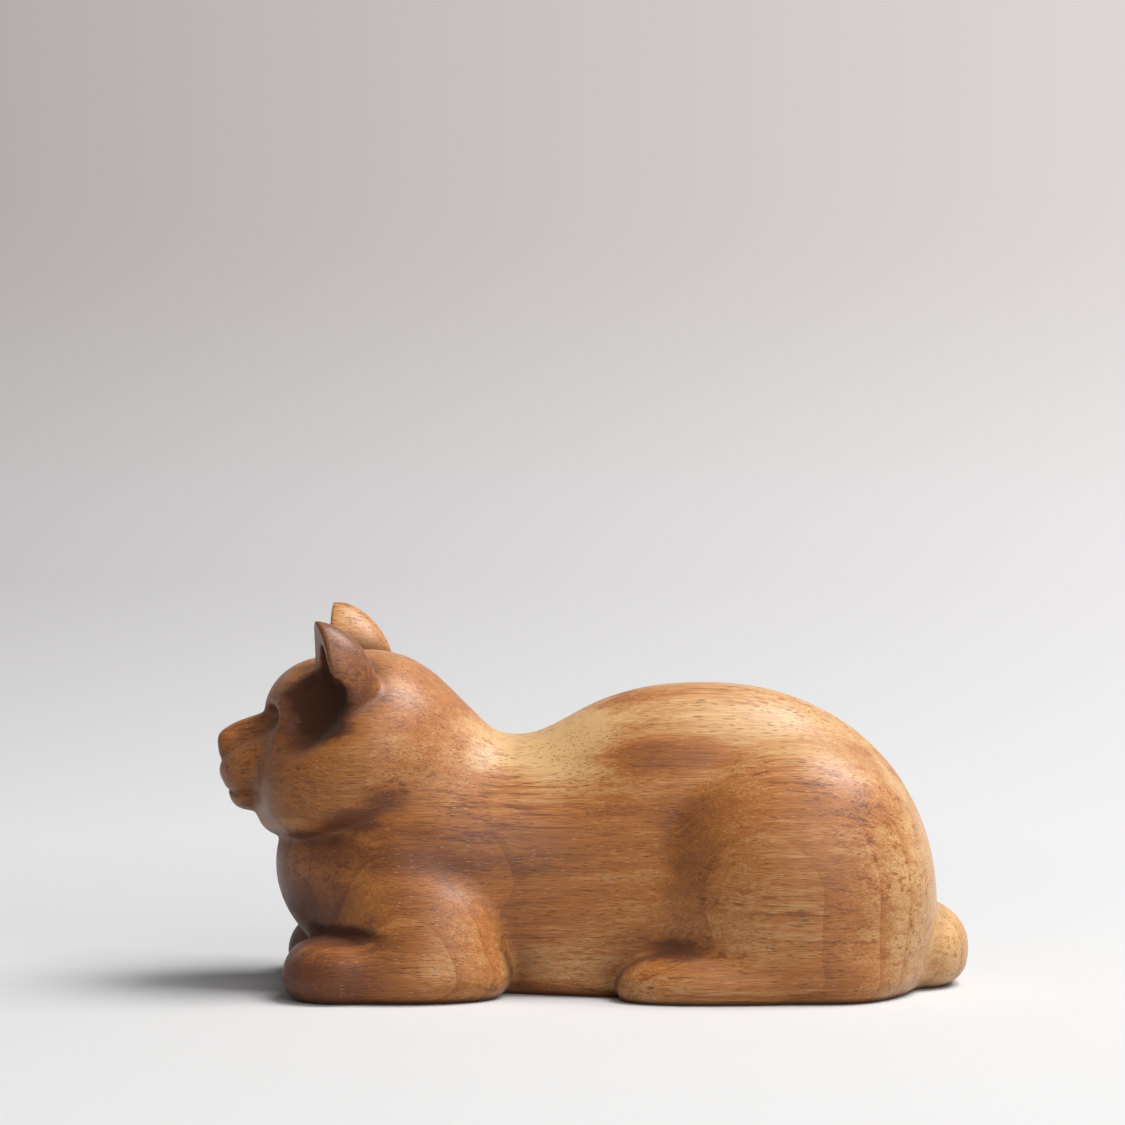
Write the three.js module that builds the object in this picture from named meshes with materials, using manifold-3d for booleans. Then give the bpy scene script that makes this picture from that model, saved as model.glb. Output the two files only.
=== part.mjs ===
import * as THREE from "three";
import { mergeVertices } from "three/addons/utils/BufferGeometryUtils.js";
import Module from "manifold-3d";

// A cat lying on its folded legs, carved from one block of brown hardwood.
// Sizes are millimetres. The nose points to -X, +Z is up, the cat's left flank faces -Y,
// and the tail curls forward along the +Y flank. The base is flat at z = 0.
// The animal is one solid: each form below is blended into its neighbours as a carver leaves it.
// An egg has half its length, half its width and its rise over its middle. A squareness of 2
// is an ellipsoid and a higher one is boxier. A soft size is the width of a blend or a crease.

// Trunk: rump, waist and chest
const RUMP_HALF_LENGTH = 46.2;
const RUMP_HALF_WIDTH = 20.6;
const RUMP_RISE = 46.4;
const RUMP_MIDDLE_X = 22;
const RUMP_MIDDLE_Z = 14;
const RUMP_SQUARENESS = 2.2;
const WAIST_HALF_LENGTH = 31;
const WAIST_HALF_WIDTH = 18.8;
const WAIST_RISE = 27.6;
const WAIST_MIDDLE_Z = 22;
const RUMP_TO_WAIST = 36;
const CHEST_HALF_LENGTH = 30;
const CHEST_HALF_WIDTH = 20.5;
const CHEST_RISE = 23.5;
const CHEST_MIDDLE_Z = 24.5;
const WAIST_TO_CHEST = 19;
const TRUNK_BLEND = 8;

// Haunches and hind feet, placed from the middle of the rump and the middle of the haunch
const HAUNCH_HALF_LENGTH = 27.2;
const HAUNCH_HALF_WIDTH = 16.6;
const HAUNCH_RISE = 29.4;
const HAUNCH_MIDDLE_Z = 19;
const HAUNCH_SQUARENESS = 2.05;
const HAUNCH_BEHIND_RUMP = 16.5;
const HAUNCH_OUT = 12.2;
const HAUNCH_FRONT_BLEND = 4;
const HAUNCH_BACK_BLEND = 13;
const HAUNCH_LOW_BLEND = 9;
const HAUNCH_LOW_TOP = 40;
const HAUNCH_LOW_DROP = 22;
const HAUNCH_BLEND_START = 14.5;
const HAUNCH_BLEND_LENGTH = 28;
const SPINE_SOFTNESS = 4;
const SHANK_RADIUS = 10.8;
const SHANK_OUT = 16.2;
const SHANK_AHEAD = 6.5;
const SHANK_BEHIND = 8.5;
const SHANK_Z = 4.5;
const SHANK_BLEND = 8;
const HIND_FOOT_HALF_LENGTH = 19.4;
const HIND_FOOT_HALF_WIDTH = 8.9;
const HIND_FOOT_RISE = 8.5;
const HIND_FOOT_AHEAD = 15.5;
const HIND_FOOT_OUT = 20.2;
const HIND_FOOT_Z = 1.8;
const HIND_FOOT_SQUARENESS = 2.4;
const HIND_FOOT_BLEND = 3;

// Forelegs, folded under the chest and placed from its middle
const FOREARM_HALF_LENGTH = 21.5;
const FOREARM_HALF_WIDTH = 10.6;
const FOREARM_RISE = 8.8;
const FOREARM_AHEAD = 4.4;
const FOREARM_OUT = 17.6;
const PAW_HALF_LENGTH = 9.6;
const PAW_HALF_WIDTH = 9.4;
const PAW_RISE = 7.2;
const PAW_AHEAD = 16.8;
const PAW_OUT = 18.6;
const FORELEG_MIDDLE_Z = 5.2;
const PAW_BLEND = 5;
const SHOULDER_HALF_LENGTH = 17.6;
const SHOULDER_HALF_WIDTH = 15;
const SHOULDER_RISE = 17.2;
const SHOULDER_OUT = 12;
const SHOULDER_MIDDLE_Z = 10;
const SHOULDER_LEAN = 0.5;
const SHOULDER_BLEND = 4;
const FORELEG_BACK_BLEND = 3.6;
const FORELEG_FRONT_BLEND = 12;
const FORELEG_BLEND_START = 9;
const FORELEG_BLEND_LENGTH = 20;
const FAR_PAW_LEAD = 2.5;
const FAR_PAW_LEAD_START = 13;
const FAR_PAW_LEAD_LENGTH = 30;
const PAW_CREASE_DEPTH = 1;
const PAW_CREASE_WIDTH = 2.2;
const PAW_CREASE_Z = 12.2;
const PAW_CREASE_FADE = 6;

// Head, placed from the middle of the skull, which the chest carries ahead of it
const SKULL_RADIUS = 20.4;
const HEAD_AHEAD_OF_CHEST = 11.5;
const HEAD_MIDDLE_Z = 46.5;
const HEAD_TURN = 0.02;
const HEAD_TILT = 0.06;
const FOREHEAD_HALF_LENGTH = 12;
const FOREHEAD_HALF_WIDTH = 13.2;
const FOREHEAD_RISE = 11.2;
const FOREHEAD_AHEAD = 8.8;
const FOREHEAD_UP = 7.6;
const FOREHEAD_BLEND = 3;
const CHEEK_HALF_LENGTH = 17;
const CHEEK_HALF_WIDTH = 20;
const CHEEK_RISE = 12.4;
const CHEEK_AHEAD = 5;
const CHEEK_DOWN = 4.8;
const CHEEK_SQUARENESS = 2.45;
const CHEEK_LEAN = 0.2;
const CHEEK_BLEND = 6;
const JAW_HALF_LENGTH = 7.2;
const JAW_HALF_WIDTH = 9;
const JAW_RISE = 5.6;
const JAW_AHEAD = 15.8;
const JAW_DOWN = 9.8;
const JAW_LEAN = 0.8;
const JAW_BLEND = 4.5;

// Muzzle, chin and nose
const MUZZLE_HALF_LENGTH = 10.7;
const MUZZLE_HALF_WIDTH = 8.6;
const MUZZLE_RISE = 5.4;
const MUZZLE_AHEAD = 19.6;
const MUZZLE_DOWN = 0.7;
const MUZZLE_SQUARENESS = 2.7;
const MUZZLE_LEAN = 0.49;
const MUZZLE_BLEND = 4;
const CHIN_HALF_LENGTH = 6;
const CHIN_HALF_WIDTH = 6;
const CHIN_RISE = 4.2;
const CHIN_AHEAD = 22.2;
const CHIN_DOWN = 7;
const CHIN_LEAN = 0.5;
const CHIN_BLEND = 3;
const NOSE_HALF_LENGTH = 7.8;
const NOSE_HALF_WIDTH = 3.1;
const NOSE_RISE = 3.5;
const NOSE_AHEAD = 22.2;
const NOSE_UP = 3.8;
const NOSE_SLOPE = 0.32;
const NOSE_SQUARENESS = 3;
const NOSE_BLEND = 1.6;
const NOSE_TIP_HALF_LENGTH = 2.9;
const NOSE_TIP_HALF_WIDTH = 3.5;
const NOSE_TIP_RISE = 3.2;
const NOSE_TIP_AHEAD = 27.2;
const NOSE_TIP_UP = 1.3;
const NOSE_TIP_LEAN = 0.1;
const NOSE_TIP_BLEND = 1;

// Hollows of the face: eye sockets, temples, the mouth line and the lip line over it
const SOCKET_HALF_LENGTH = 5.2;
const SOCKET_HALF_WIDTH = 5;
const SOCKET_RISE = 3;
const SOCKET_AHEAD = 22;
const SOCKET_OUT = 7.4;
const SOCKET_UP = 7;
const SOCKET_LEAN = 0.3;
const SOCKET_BLEND = 3;
const TEMPLE_HALF_LENGTH = 5.2;
const TEMPLE_HALF_WIDTH = 6.2;
const TEMPLE_RISE = 7.8;
const TEMPLE_AHEAD = 9.2;
const TEMPLE_OUT = 16.6;
const TEMPLE_UP = 11;
const TEMPLE_LEAN = 0.6;
const TEMPLE_BLEND = 4.5;
const MOUTH_DEPTH = 0.55;
const MOUTH_WIDTH = 1;
const MOUTH_DOWN = 7.3;
const MOUTH_CORNER_AHEAD = 21;
const MOUTH_FADE = 2.5;
const MOUTH_BOW = 0.4;
const MOUTH_SAG = 0.5;
const MOUTH_SAG_OUT = 4;
const LIP_DEPTH = 0.5;
const LIP_WIDTH = 0.9;
const LIP_TOP_DOWN = 1.4;
const LIP_AHEAD = 24;
const LIP_FADE = 1;

// Nape and neck: the crease is tight under the jaw and opens out over the nape
const NAPE_HALF_LENGTH = 17;
const NAPE_HALF_WIDTH = 16;
const NAPE_RISE = 16.6;
const NAPE_BEHIND = 8.5;
const NAPE_DOWN = 3.5;
const NAPE_BLEND = 4;
const NECK_FRONT_BLEND = 3.6;
const NECK_BACK_BLEND = 9.6;
const NECK_BLEND_AHEAD = 2.5;
const NECK_BLEND_LENGTH = 20;

// Ears: each is the rear half of a pointed egg. Its front is cut off along the side of a big egg,
// then scooped out a little. The far ear was left a little taller and further back.
const EAR_HALF_LENGTH = 14;
const EAR_HALF_WIDTH = 7;
const EAR_HALF_HEIGHT = 13.2;
const EAR_AHEAD = 9.2;
const EAR_OUT = 14.2;
const EAR_UP = 14.2;
const EAR_SPLAY = 0.1;
const EAR_SQUARENESS = 1.8;
const EAR_BLEND = 2.6;
const EAR_CUT_HALF_LENGTH = 30;
const EAR_CUT_HALF_WIDTH = 60;
const EAR_CUT_RISE = 36;
const EAR_CUT_AHEAD = 23.2;
const EAR_CUT_OUT = 33;
const EAR_CUT_UP = 2.6;
const EAR_SCOOP_HALF_LENGTH = 3.4;
const EAR_SCOOP_HALF_WIDTH = 4.2;
const EAR_SCOOP_RISE = 9;
const EAR_SCOOP_BEHIND = 1.8;
const EAR_SCOOP_OUT = 0.6;
const EAR_SCOOP_DOWN = 0.6;
const EAR_RIM_SOFTNESS = 2.6;
const FAR_EAR_EXTRA_HEIGHT = 1.7;
const FAR_EAR_SETBACK = 1.5;

// Tail: it leaves the rump, rounds the far haunch and thins towards its tip. Its path seen from
// above is a rounded rectangle, and its places on it are angles from the rearmost one.
const TAIL_PATH_HALF_LENGTH = 39.2;
const TAIL_PATH_HALF_WIDTH = 19.5;
const TAIL_PATH_AHEAD = 10.5;
const TAIL_PATH_OFF_MIDLINE = 4;
const TAIL_PATH_SQUARENESS = 2.6;
const TAIL_ROOT_RADIUS = 8.3;
const TAIL_TIP_RADIUS = 3;
const TAIL_LIE = 0.4;
const TAIL_ROOT_ANGLE = -0.15;
const TAIL_ROOT_FADE = 0.6;
const TAIL_THINNING_START = 0.3;
const TAIL_THINNING_END = 2.3;
const TAIL_END_ANGLE = 1.75;
const TAIL_END_FADE = 0.16;
const TAIL_BLEND = 2.5;

// Flat base: the lowest band of every form stands steeper, and its bottom edge is broken
const SKIRT_HEIGHT = 12;
const SKIRT_DROP = 3;
const EDGE_HEIGHT = 4.5;
const EDGE_BREAK = 1.9;

// Facets: gaps between the grid lines that the surface is drawn on
const FINE_GAP = 1.6;
const COARSE_GAP = 6;
const ACROSS_GAP = 1.9;
const MIDLINE_GAP = 1.5;
const LOW_GAP = 3.8;
const DEPTH_BELOW_BASE = 2.7;
const CELL_MARGIN = 0.06;
const RELAX_PASSES = 2;
const RELAX_SHARE = 0.5;
const RELAX_SETTLES = 2;
const FIRST_SETTLES = 3;

const WOOD = new THREE.MeshStandardMaterial({ color: "#a5713f", roughness: 0.5, metalness: 0 });

const { clamp, lerp, smoothstep } = THREE.MathUtils;

/** A rounded form. A squareness of 2 is an ellipsoid, and a higher one is boxier. */
class Egg {
  constructor({ at, half, squareness = 2, lean = 0 }) {
    this.at = at;
    this.half = half;
    this.squareness = squareness;
    this.sin = Math.sin(lean);
    this.cos = Math.cos(lean);
  }

  /** Distance from a place to the form's surface, below zero inside it. */
  distance(x, y, z) {
    const dx = x - this.at[0];
    const dz = z - this.at[2];
    const along = this.cos * dx - this.sin * dz;
    const up = this.sin * dx + this.cos * dz;
    const a = Math.abs(along) / this.half[0];
    const b = Math.abs(y - this.at[1]) / this.half[1];
    const c = Math.abs(up) / this.half[2];
    const p = this.squareness;
    const level = (a ** p + b ** p + c ** p) ** (1 / p);
    const slopes = [a, b, c].map((share, axis) => share ** (p - 1) / this.half[axis]);
    const slope = Math.hypot(...slopes);
    return ((level - 1) * Math.max(level, 1e-6) ** (p - 1)) / Math.max(slope, 1e-6);
  }
}

/** Joins two forms with a soft hollow between them. */
function blend(a, b, softness) {
  const near = Math.max(softness - Math.abs(a - b), 0) / softness;
  return Math.min(a, b) - (near ** 3 * softness) / 6;
}

/** Cuts the second form out of the first and softens the edge. */
function carve(a, b, softness) {
  return -blend(-a, b, softness);
}

/** How much of a crease is left at a place that far from its line: 1 on it and fading to 0. */
function crease(off, width) {
  return Math.exp(-((off / width) ** 2));
}

/** Rises from 0 to 1 over a length that begins at the start. */
function rise(place, start, length) {
  return smoothstep(place, start, start + length);
}

const WAIST_X = RUMP_MIDDLE_X - RUMP_TO_WAIST;
const CHEST_X = WAIST_X - WAIST_TO_CHEST;
const HAUNCH_X = RUMP_MIDDLE_X + HAUNCH_BEHIND_RUMP;
const SKULL_X = CHEST_X - HEAD_AHEAD_OF_CHEST;

const rump = new Egg({
  at: [RUMP_MIDDLE_X, 0, RUMP_MIDDLE_Z],
  half: [RUMP_HALF_LENGTH, RUMP_HALF_WIDTH, RUMP_RISE],
  squareness: RUMP_SQUARENESS,
});
const waist = new Egg({
  at: [WAIST_X, 0, WAIST_MIDDLE_Z],
  half: [WAIST_HALF_LENGTH, WAIST_HALF_WIDTH, WAIST_RISE],
});
const chest = new Egg({
  at: [CHEST_X, 0, CHEST_MIDDLE_Z],
  half: [CHEST_HALF_LENGTH, CHEST_HALF_WIDTH, CHEST_RISE],
});

/** The trunk without its legs. */
function trunkDistance(x, y, z) {
  const back = blend(rump.distance(x, y, z), waist.distance(x, y, z), TRUNK_BLEND);
  return blend(back, chest.distance(x, y, z), TRUNK_BLEND);
}

const haunch = new Egg({
  at: [HAUNCH_X, HAUNCH_OUT, HAUNCH_MIDDLE_Z],
  half: [HAUNCH_HALF_LENGTH, HAUNCH_HALF_WIDTH, HAUNCH_RISE],
  squareness: HAUNCH_SQUARENESS,
});
const hindFoot = new Egg({
  at: [HAUNCH_X - HIND_FOOT_AHEAD, HIND_FOOT_OUT, HIND_FOOT_Z],
  half: [HIND_FOOT_HALF_LENGTH, HIND_FOOT_HALF_WIDTH, HIND_FOOT_RISE],
  squareness: HIND_FOOT_SQUARENESS,
});

/** Distance to the shank, a round bar with round ends that lies along the side. */
function shankDistance(x, out, z) {
  const nearest = clamp(x, HAUNCH_X - SHANK_AHEAD, HAUNCH_X + SHANK_BEHIND);
  return Math.hypot(x - nearest, out - SHANK_OUT, z - SHANK_Z) - SHANK_RADIUS;
}

/** Thigh and shank of one hind leg; out is the distance from the spine, rounded at the spine. */
function thighDistance(x, out, z) {
  return blend(haunch.distance(x, out, z), shankDistance(x, out, z), SHANK_BLEND);
}

const forearm = new Egg({
  at: [CHEST_X - FOREARM_AHEAD, FOREARM_OUT, FORELEG_MIDDLE_Z],
  half: [FOREARM_HALF_LENGTH, FOREARM_HALF_WIDTH, FOREARM_RISE],
});
const paw = new Egg({
  at: [CHEST_X - PAW_AHEAD, PAW_OUT, FORELEG_MIDDLE_Z],
  half: [PAW_HALF_LENGTH, PAW_HALF_WIDTH, PAW_RISE],
});
const shoulder = new Egg({
  at: [CHEST_X, SHOULDER_OUT, SHOULDER_MIDDLE_Z],
  half: [SHOULDER_HALF_LENGTH, SHOULDER_HALF_WIDTH, SHOULDER_RISE],
  lean: SHOULDER_LEAN,
});

/** Forearm, paw and upper arm of one foreleg. */
function forelegDistance(x, out, z) {
  const lower = blend(forearm.distance(x, out, z), paw.distance(x, out, z), PAW_BLEND);
  return blend(lower, shoulder.distance(x, out, z), SHOULDER_BLEND);
}

/** How much of the crease over the paw is left at a place. */
function pawCrease(x, out, z) {
  const front = CHEST_X - PAW_AHEAD - PAW_HALF_LENGTH;
  const along = rise(x, front, PAW_CREASE_FADE) * rise(-x, -CHEST_X + PAW_CREASE_FADE, PAW_CREASE_FADE);
  const across = rise(out, PAW_OUT - PAW_HALF_WIDTH, PAW_CREASE_FADE);
  return along * across * crease(z - PAW_CREASE_Z, PAW_CREASE_WIDTH);
}

const tailPath = new Egg({
  at: [HAUNCH_X - TAIL_PATH_AHEAD, TAIL_PATH_OFF_MIDLINE, 0],
  half: [TAIL_PATH_HALF_LENGTH, TAIL_PATH_HALF_WIDTH, 1],
  squareness: TAIL_PATH_SQUARENESS,
});

/** Distance to the tail, a tube along its path that closes in a round cap at each end. */
function tailDistance(x, y, z) {
  const along = (x - tailPath.at[0]) / tailPath.half[0];
  const across = (y - tailPath.at[1]) / tailPath.half[1];
  const angle = Math.atan2(across, along);
  const thinned = smoothstep(angle, TAIL_THINNING_START, TAIL_THINNING_END);
  const radius = lerp(TAIL_ROOT_RADIUS, TAIL_TIP_RADIUS, thinned);
  const pastTip = (angle - TAIL_END_ANGLE) / TAIL_END_FADE;
  const pastRoot = (TAIL_ROOT_ANGLE - angle) / TAIL_ROOT_FADE;
  const past = Math.max(pastTip, pastRoot, 0);
  const cap = past < 1 ? Math.sqrt(1 - past ** 2) : 1 - past;
  return Math.hypot(tailPath.distance(x, y, 0), z - radius + TAIL_LIE) - radius * cap;
}

/** Trunk, legs and tail. */
function bodyDistance(x, y, z) {
  const out = Math.abs(y);
  const lead = y > 0 ? FAR_PAW_LEAD * rise(CHEST_X - x, -FAR_PAW_LEAD_START, FAR_PAW_LEAD_LENGTH) : 0;
  const thighBack = rise(x, HAUNCH_X - HAUNCH_BLEND_START, HAUNCH_BLEND_LENGTH);
  const thighLow = rise(-z, -HAUNCH_LOW_TOP, HAUNCH_LOW_DROP);
  const thighFront = lerp(HAUNCH_FRONT_BLEND, HAUNCH_LOW_BLEND, thighLow);
  const thighBlend = lerp(thighFront, HAUNCH_BACK_BLEND, thighBack);
  const armFront = rise(CHEST_X - x - lead, -FORELEG_BLEND_START, FORELEG_BLEND_LENGTH);
  const armBlend = lerp(FORELEG_BACK_BLEND, FORELEG_FRONT_BLEND, armFront);
  let body = trunkDistance(x, y, z);
  body = blend(body, thighDistance(x, Math.hypot(y, SPINE_SOFTNESS), z), thighBlend);
  body = blend(body, hindFoot.distance(x, out, z), HIND_FOOT_BLEND);
  body = blend(body, forelegDistance(x + lead, out, z), armBlend);
  body += PAW_CREASE_DEPTH * pawCrease(x + lead, out, z);
  return blend(body, tailDistance(x, y, z), TAIL_BLEND);
}

const skull = new Egg({ at: [0, 0, 0], half: [SKULL_RADIUS, SKULL_RADIUS, SKULL_RADIUS] });
const forehead = new Egg({
  at: [-FOREHEAD_AHEAD, 0, FOREHEAD_UP],
  half: [FOREHEAD_HALF_LENGTH, FOREHEAD_HALF_WIDTH, FOREHEAD_RISE],
});
const cheeks = new Egg({
  at: [-CHEEK_AHEAD, 0, -CHEEK_DOWN],
  half: [CHEEK_HALF_LENGTH, CHEEK_HALF_WIDTH, CHEEK_RISE],
  squareness: CHEEK_SQUARENESS,
  lean: -CHEEK_LEAN,
});
const jaw = new Egg({
  at: [-JAW_AHEAD, 0, -JAW_DOWN],
  half: [JAW_HALF_LENGTH, JAW_HALF_WIDTH, JAW_RISE],
  lean: -JAW_LEAN,
});
const muzzle = new Egg({
  at: [-MUZZLE_AHEAD, 0, -MUZZLE_DOWN],
  half: [MUZZLE_HALF_LENGTH, MUZZLE_HALF_WIDTH, MUZZLE_RISE],
  squareness: MUZZLE_SQUARENESS,
  lean: -MUZZLE_LEAN,
});
const chin = new Egg({
  at: [-CHIN_AHEAD, 0, -CHIN_DOWN],
  half: [CHIN_HALF_LENGTH, CHIN_HALF_WIDTH, CHIN_RISE],
  lean: -CHIN_LEAN,
});
const eyeSocket = new Egg({
  at: [-SOCKET_AHEAD, SOCKET_OUT, SOCKET_UP],
  half: [SOCKET_HALF_LENGTH, SOCKET_HALF_WIDTH, SOCKET_RISE],
  lean: -SOCKET_LEAN,
});
const noseBridge = new Egg({
  at: [-NOSE_AHEAD, 0, NOSE_UP],
  half: [NOSE_HALF_LENGTH, NOSE_HALF_WIDTH, NOSE_RISE],
  squareness: NOSE_SQUARENESS,
  lean: -NOSE_SLOPE,
});
const noseTip = new Egg({
  at: [-NOSE_TIP_AHEAD, 0, NOSE_TIP_UP],
  half: [NOSE_TIP_HALF_LENGTH, NOSE_TIP_HALF_WIDTH, NOSE_TIP_RISE],
  squareness: NOSE_SQUARENESS,
  lean: -NOSE_TIP_LEAN,
});
const temple = new Egg({
  at: [-TEMPLE_AHEAD, TEMPLE_OUT, TEMPLE_UP],
  half: [TEMPLE_HALF_LENGTH, TEMPLE_HALF_WIDTH, TEMPLE_RISE],
  lean: TEMPLE_LEAN,
});
const nape = new Egg({
  at: [SKULL_X + NAPE_BEHIND, 0, HEAD_MIDDLE_Z - NAPE_DOWN],
  half: [NAPE_HALF_LENGTH, NAPE_HALF_WIDTH, NAPE_RISE],
});

/** How much of the mouth line is left: it bows up at the midline and sags under each lip. */
function mouthCrease(x, out, z) {
  const bow = MOUTH_BOW * crease(out, MOUTH_WIDTH + LIP_FADE);
  const sag = MOUTH_SAG * crease(out - MOUTH_SAG_OUT, MOUTH_FADE);
  const off = z + MOUTH_DOWN - bow + sag;
  return crease(off, MOUTH_WIDTH) * rise(-x, MOUTH_CORNER_AHEAD, MOUTH_FADE);
}

/** How much of the upright line between the lips is left. */
function lipCrease(x, y, z) {
  const upright = rise(-z, LIP_TOP_DOWN, LIP_FADE) * rise(z, -MOUTH_DOWN, LIP_FADE);
  return crease(y, LIP_WIDTH) * upright * rise(-x, LIP_AHEAD, MOUTH_FADE);
}

/** Skull with the face carved on it, in the head's own frame. */
function faceDistance(x, y, z) {
  const out = Math.abs(y);
  let face = blend(skull.distance(x, y, z), forehead.distance(x, y, z), FOREHEAD_BLEND);
  face = blend(face, cheeks.distance(x, y, z), CHEEK_BLEND);
  face = blend(face, jaw.distance(x, y, z), JAW_BLEND);
  face = blend(face, muzzle.distance(x, y, z), MUZZLE_BLEND);
  face = blend(face, chin.distance(x, y, z), CHIN_BLEND);
  face = carve(face, eyeSocket.distance(x, out, z), SOCKET_BLEND);
  face = blend(face, noseBridge.distance(x, y, z), NOSE_BLEND);
  face = blend(face, noseTip.distance(x, y, z), NOSE_TIP_BLEND);
  return face + MOUTH_DEPTH * mouthCrease(x, out, z) + LIP_DEPTH * lipCrease(x, y, z);
}

/** One ear: a pointed form, cut off at the front and scooped out there. */
class Ear {
  constructor(extraHeight, setback) {
    const grown = extraHeight / 2;
    this.middle = EAR_UP + grown;
    const front = setback - EAR_AHEAD;
    this.shell = new Egg({
      at: [front, EAR_OUT, this.middle],
      half: [EAR_HALF_LENGTH, EAR_HALF_WIDTH, EAR_HALF_HEIGHT + grown],
      squareness: EAR_SQUARENESS,
    });
    this.cut = new Egg({
      at: [front - EAR_CUT_AHEAD, EAR_OUT + EAR_CUT_OUT, this.middle + EAR_CUT_UP],
      half: [EAR_CUT_HALF_LENGTH, EAR_CUT_HALF_WIDTH, EAR_CUT_RISE],
    });
    this.scoop = new Egg({
      at: [front + EAR_SCOOP_BEHIND, EAR_OUT + EAR_SCOOP_OUT, this.middle - EAR_SCOOP_DOWN],
      half: [EAR_SCOOP_HALF_LENGTH, EAR_SCOOP_HALF_WIDTH, EAR_SCOOP_RISE],
    });
  }

  distance(x, out, z) {
    const splayed = out - EAR_SPLAY * (z - this.middle);
    const cut = carve(this.shell.distance(x, splayed, z), this.cut.distance(x, splayed, z), EAR_RIM_SOFTNESS);
    return carve(cut, this.scoop.distance(x, splayed, z), EAR_RIM_SOFTNESS);
  }
}

const nearEar = new Ear(0, 0);
const farEar = new Ear(FAR_EAR_EXTRA_HEIGHT, FAR_EAR_SETBACK);

/** Turns a place into the head's own frame: slightly turned, and tilted towards the near side. */
function intoHead(x, y, z) {
  return new THREE.Vector3(x - SKULL_X, y, z - HEAD_MIDDLE_Z)
    .applyAxisAngle(new THREE.Vector3(0, 0, 1), HEAD_TURN)
    .applyAxisAngle(new THREE.Vector3(1, 0, 0), -HEAD_TILT);
}

/** Head with its ears and nape. */
function headDistance(x, y, z) {
  const at = intoHead(x, y, z);
  const out = Math.abs(at.y);
  const ear = at.y > 0 ? farEar : nearEar;
  let head = faceDistance(at.x, at.y, at.z);
  head = blend(head, ear.distance(at.x, out, at.z), EAR_BLEND);
  head = carve(head, temple.distance(at.x, out, at.z), TEMPLE_BLEND);
  return blend(head, nape.distance(x, y, z), NAPE_BLEND);
}

/** The whole carving above and a little below its base plane. */
function catDistance(x, y, z) {
  const skirt = clamp(1 - z / SKIRT_HEIGHT, 0, 1.5);
  const body = bodyDistance(x, y, z + SKIRT_DROP * skirt ** 2);
  const back = rise(x, SKULL_X - NECK_BLEND_AHEAD, NECK_BLEND_LENGTH);
  const cat = blend(body, headDistance(x, y, z), lerp(NECK_FRONT_BLEND, NECK_BACK_BLEND, back));
  const edge = clamp(1 - z / EDGE_HEIGHT, 0, 1);
  return Math.max(cat + EDGE_BREAK * edge ** 2, -z - DEPTH_BELOW_BASE);
}

/** Grid lines from one place past another, with gaps that follow a rule. */
function gridLines(from, to, gapAt) {
  const lines = [from];
  while (lines.at(-1) < to) {
    lines.push(lines.at(-1) + gapAt(lines.at(-1)));
  }
  return lines;
}

/** Lines that mirror about zero, so that the midline is a line of the grid. */
function mirroredLines(reach, gapAt) {
  const half = gridLines(0, reach, gapAt);
  return [...half.slice(1).map((line) => -line).reverse(), ...half];
}

/** Pulls a place onto the surface along the steepest way and keeps it inside its grid cell. */
function settle(distance, place, cell, passes) {
  const nudge = 0.05;
  const reach = Math.min(...cell.getSize(new THREE.Vector3())) / 3;
  for (let pass = 0; pass < passes; pass += 1) {
    const { x, y, z } = place;
    const slope = new THREE.Vector3(
      distance(x + nudge, y, z) - distance(x - nudge, y, z),
      distance(x, y + nudge, z) - distance(x, y - nudge, z),
      distance(x, y, z + nudge) - distance(x, y, z - nudge),
    ).divideScalar(2 * nudge);
    const step = distance(x, y, z) / Math.max(slope.lengthSq(), 0.1);
    place.addScaledVector(slope, -clamp(step, -reach, reach));
  }
  return cell.clampPoint(place, place);
}

/** Evens the facets out: each place moves towards the middle of its neighbours and settles again. */
function relax(distance, places, cells, rings) {
  const sums = places.map(() => new THREE.Vector3());
  const counts = places.map(() => 0);
  for (const ring of rings) {
    ring.forEach((from, corner) => {
      const to = ring[(corner + 1) % ring.length];
      sums[from].add(places[to]);
      sums[to].add(places[from]);
      counts[from] += 1;
      counts[to] += 1;
    });
  }
  return places.map((place, number) => {
    const middle = sums[number].divideScalar(counts[number]);
    return settle(distance, place.clone().lerp(middle, RELAX_SHARE), cells[number], RELAX_SETTLES);
  });
}

/** Fills one corner of each grid square whose corners change side both ways, and counts them. */
function fillSaddles(values, at, [across, along, up]) {
  const squares = [[[1, 0, 0], [0, 1, 0]], [[0, 1, 0], [0, 0, 1]], [[0, 0, 1], [1, 0, 0]]];
  let filled = 0;
  for (let i = 0; i < across - 1; i += 1) {
    for (let j = 0; j < along - 1; j += 1) {
      for (let k = 0; k < up - 1; k += 1) {
        for (const [a, b] of squares) {
          const ring = [
            at(i, j, k),
            at(i + a[0], j + a[1], k + a[2]),
            at(i + a[0] + b[0], j + a[1] + b[1], k + a[2] + b[2]),
            at(i + b[0], j + b[1], k + b[2]),
          ];
          const [p, q, r, s] = ring.map((corner) => values[corner] < 0);
          if (p === r && q === s && p !== q) {
            const open = ring.filter((corner) => values[corner] >= 0);
            const nearer = values[open[0]] < values[open[1]] ? open[0] : open[1];
            values[nearer] = -1e-3;
            filled += 1;
          }
        }
      }
    }
  }
  return filled;
}

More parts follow.
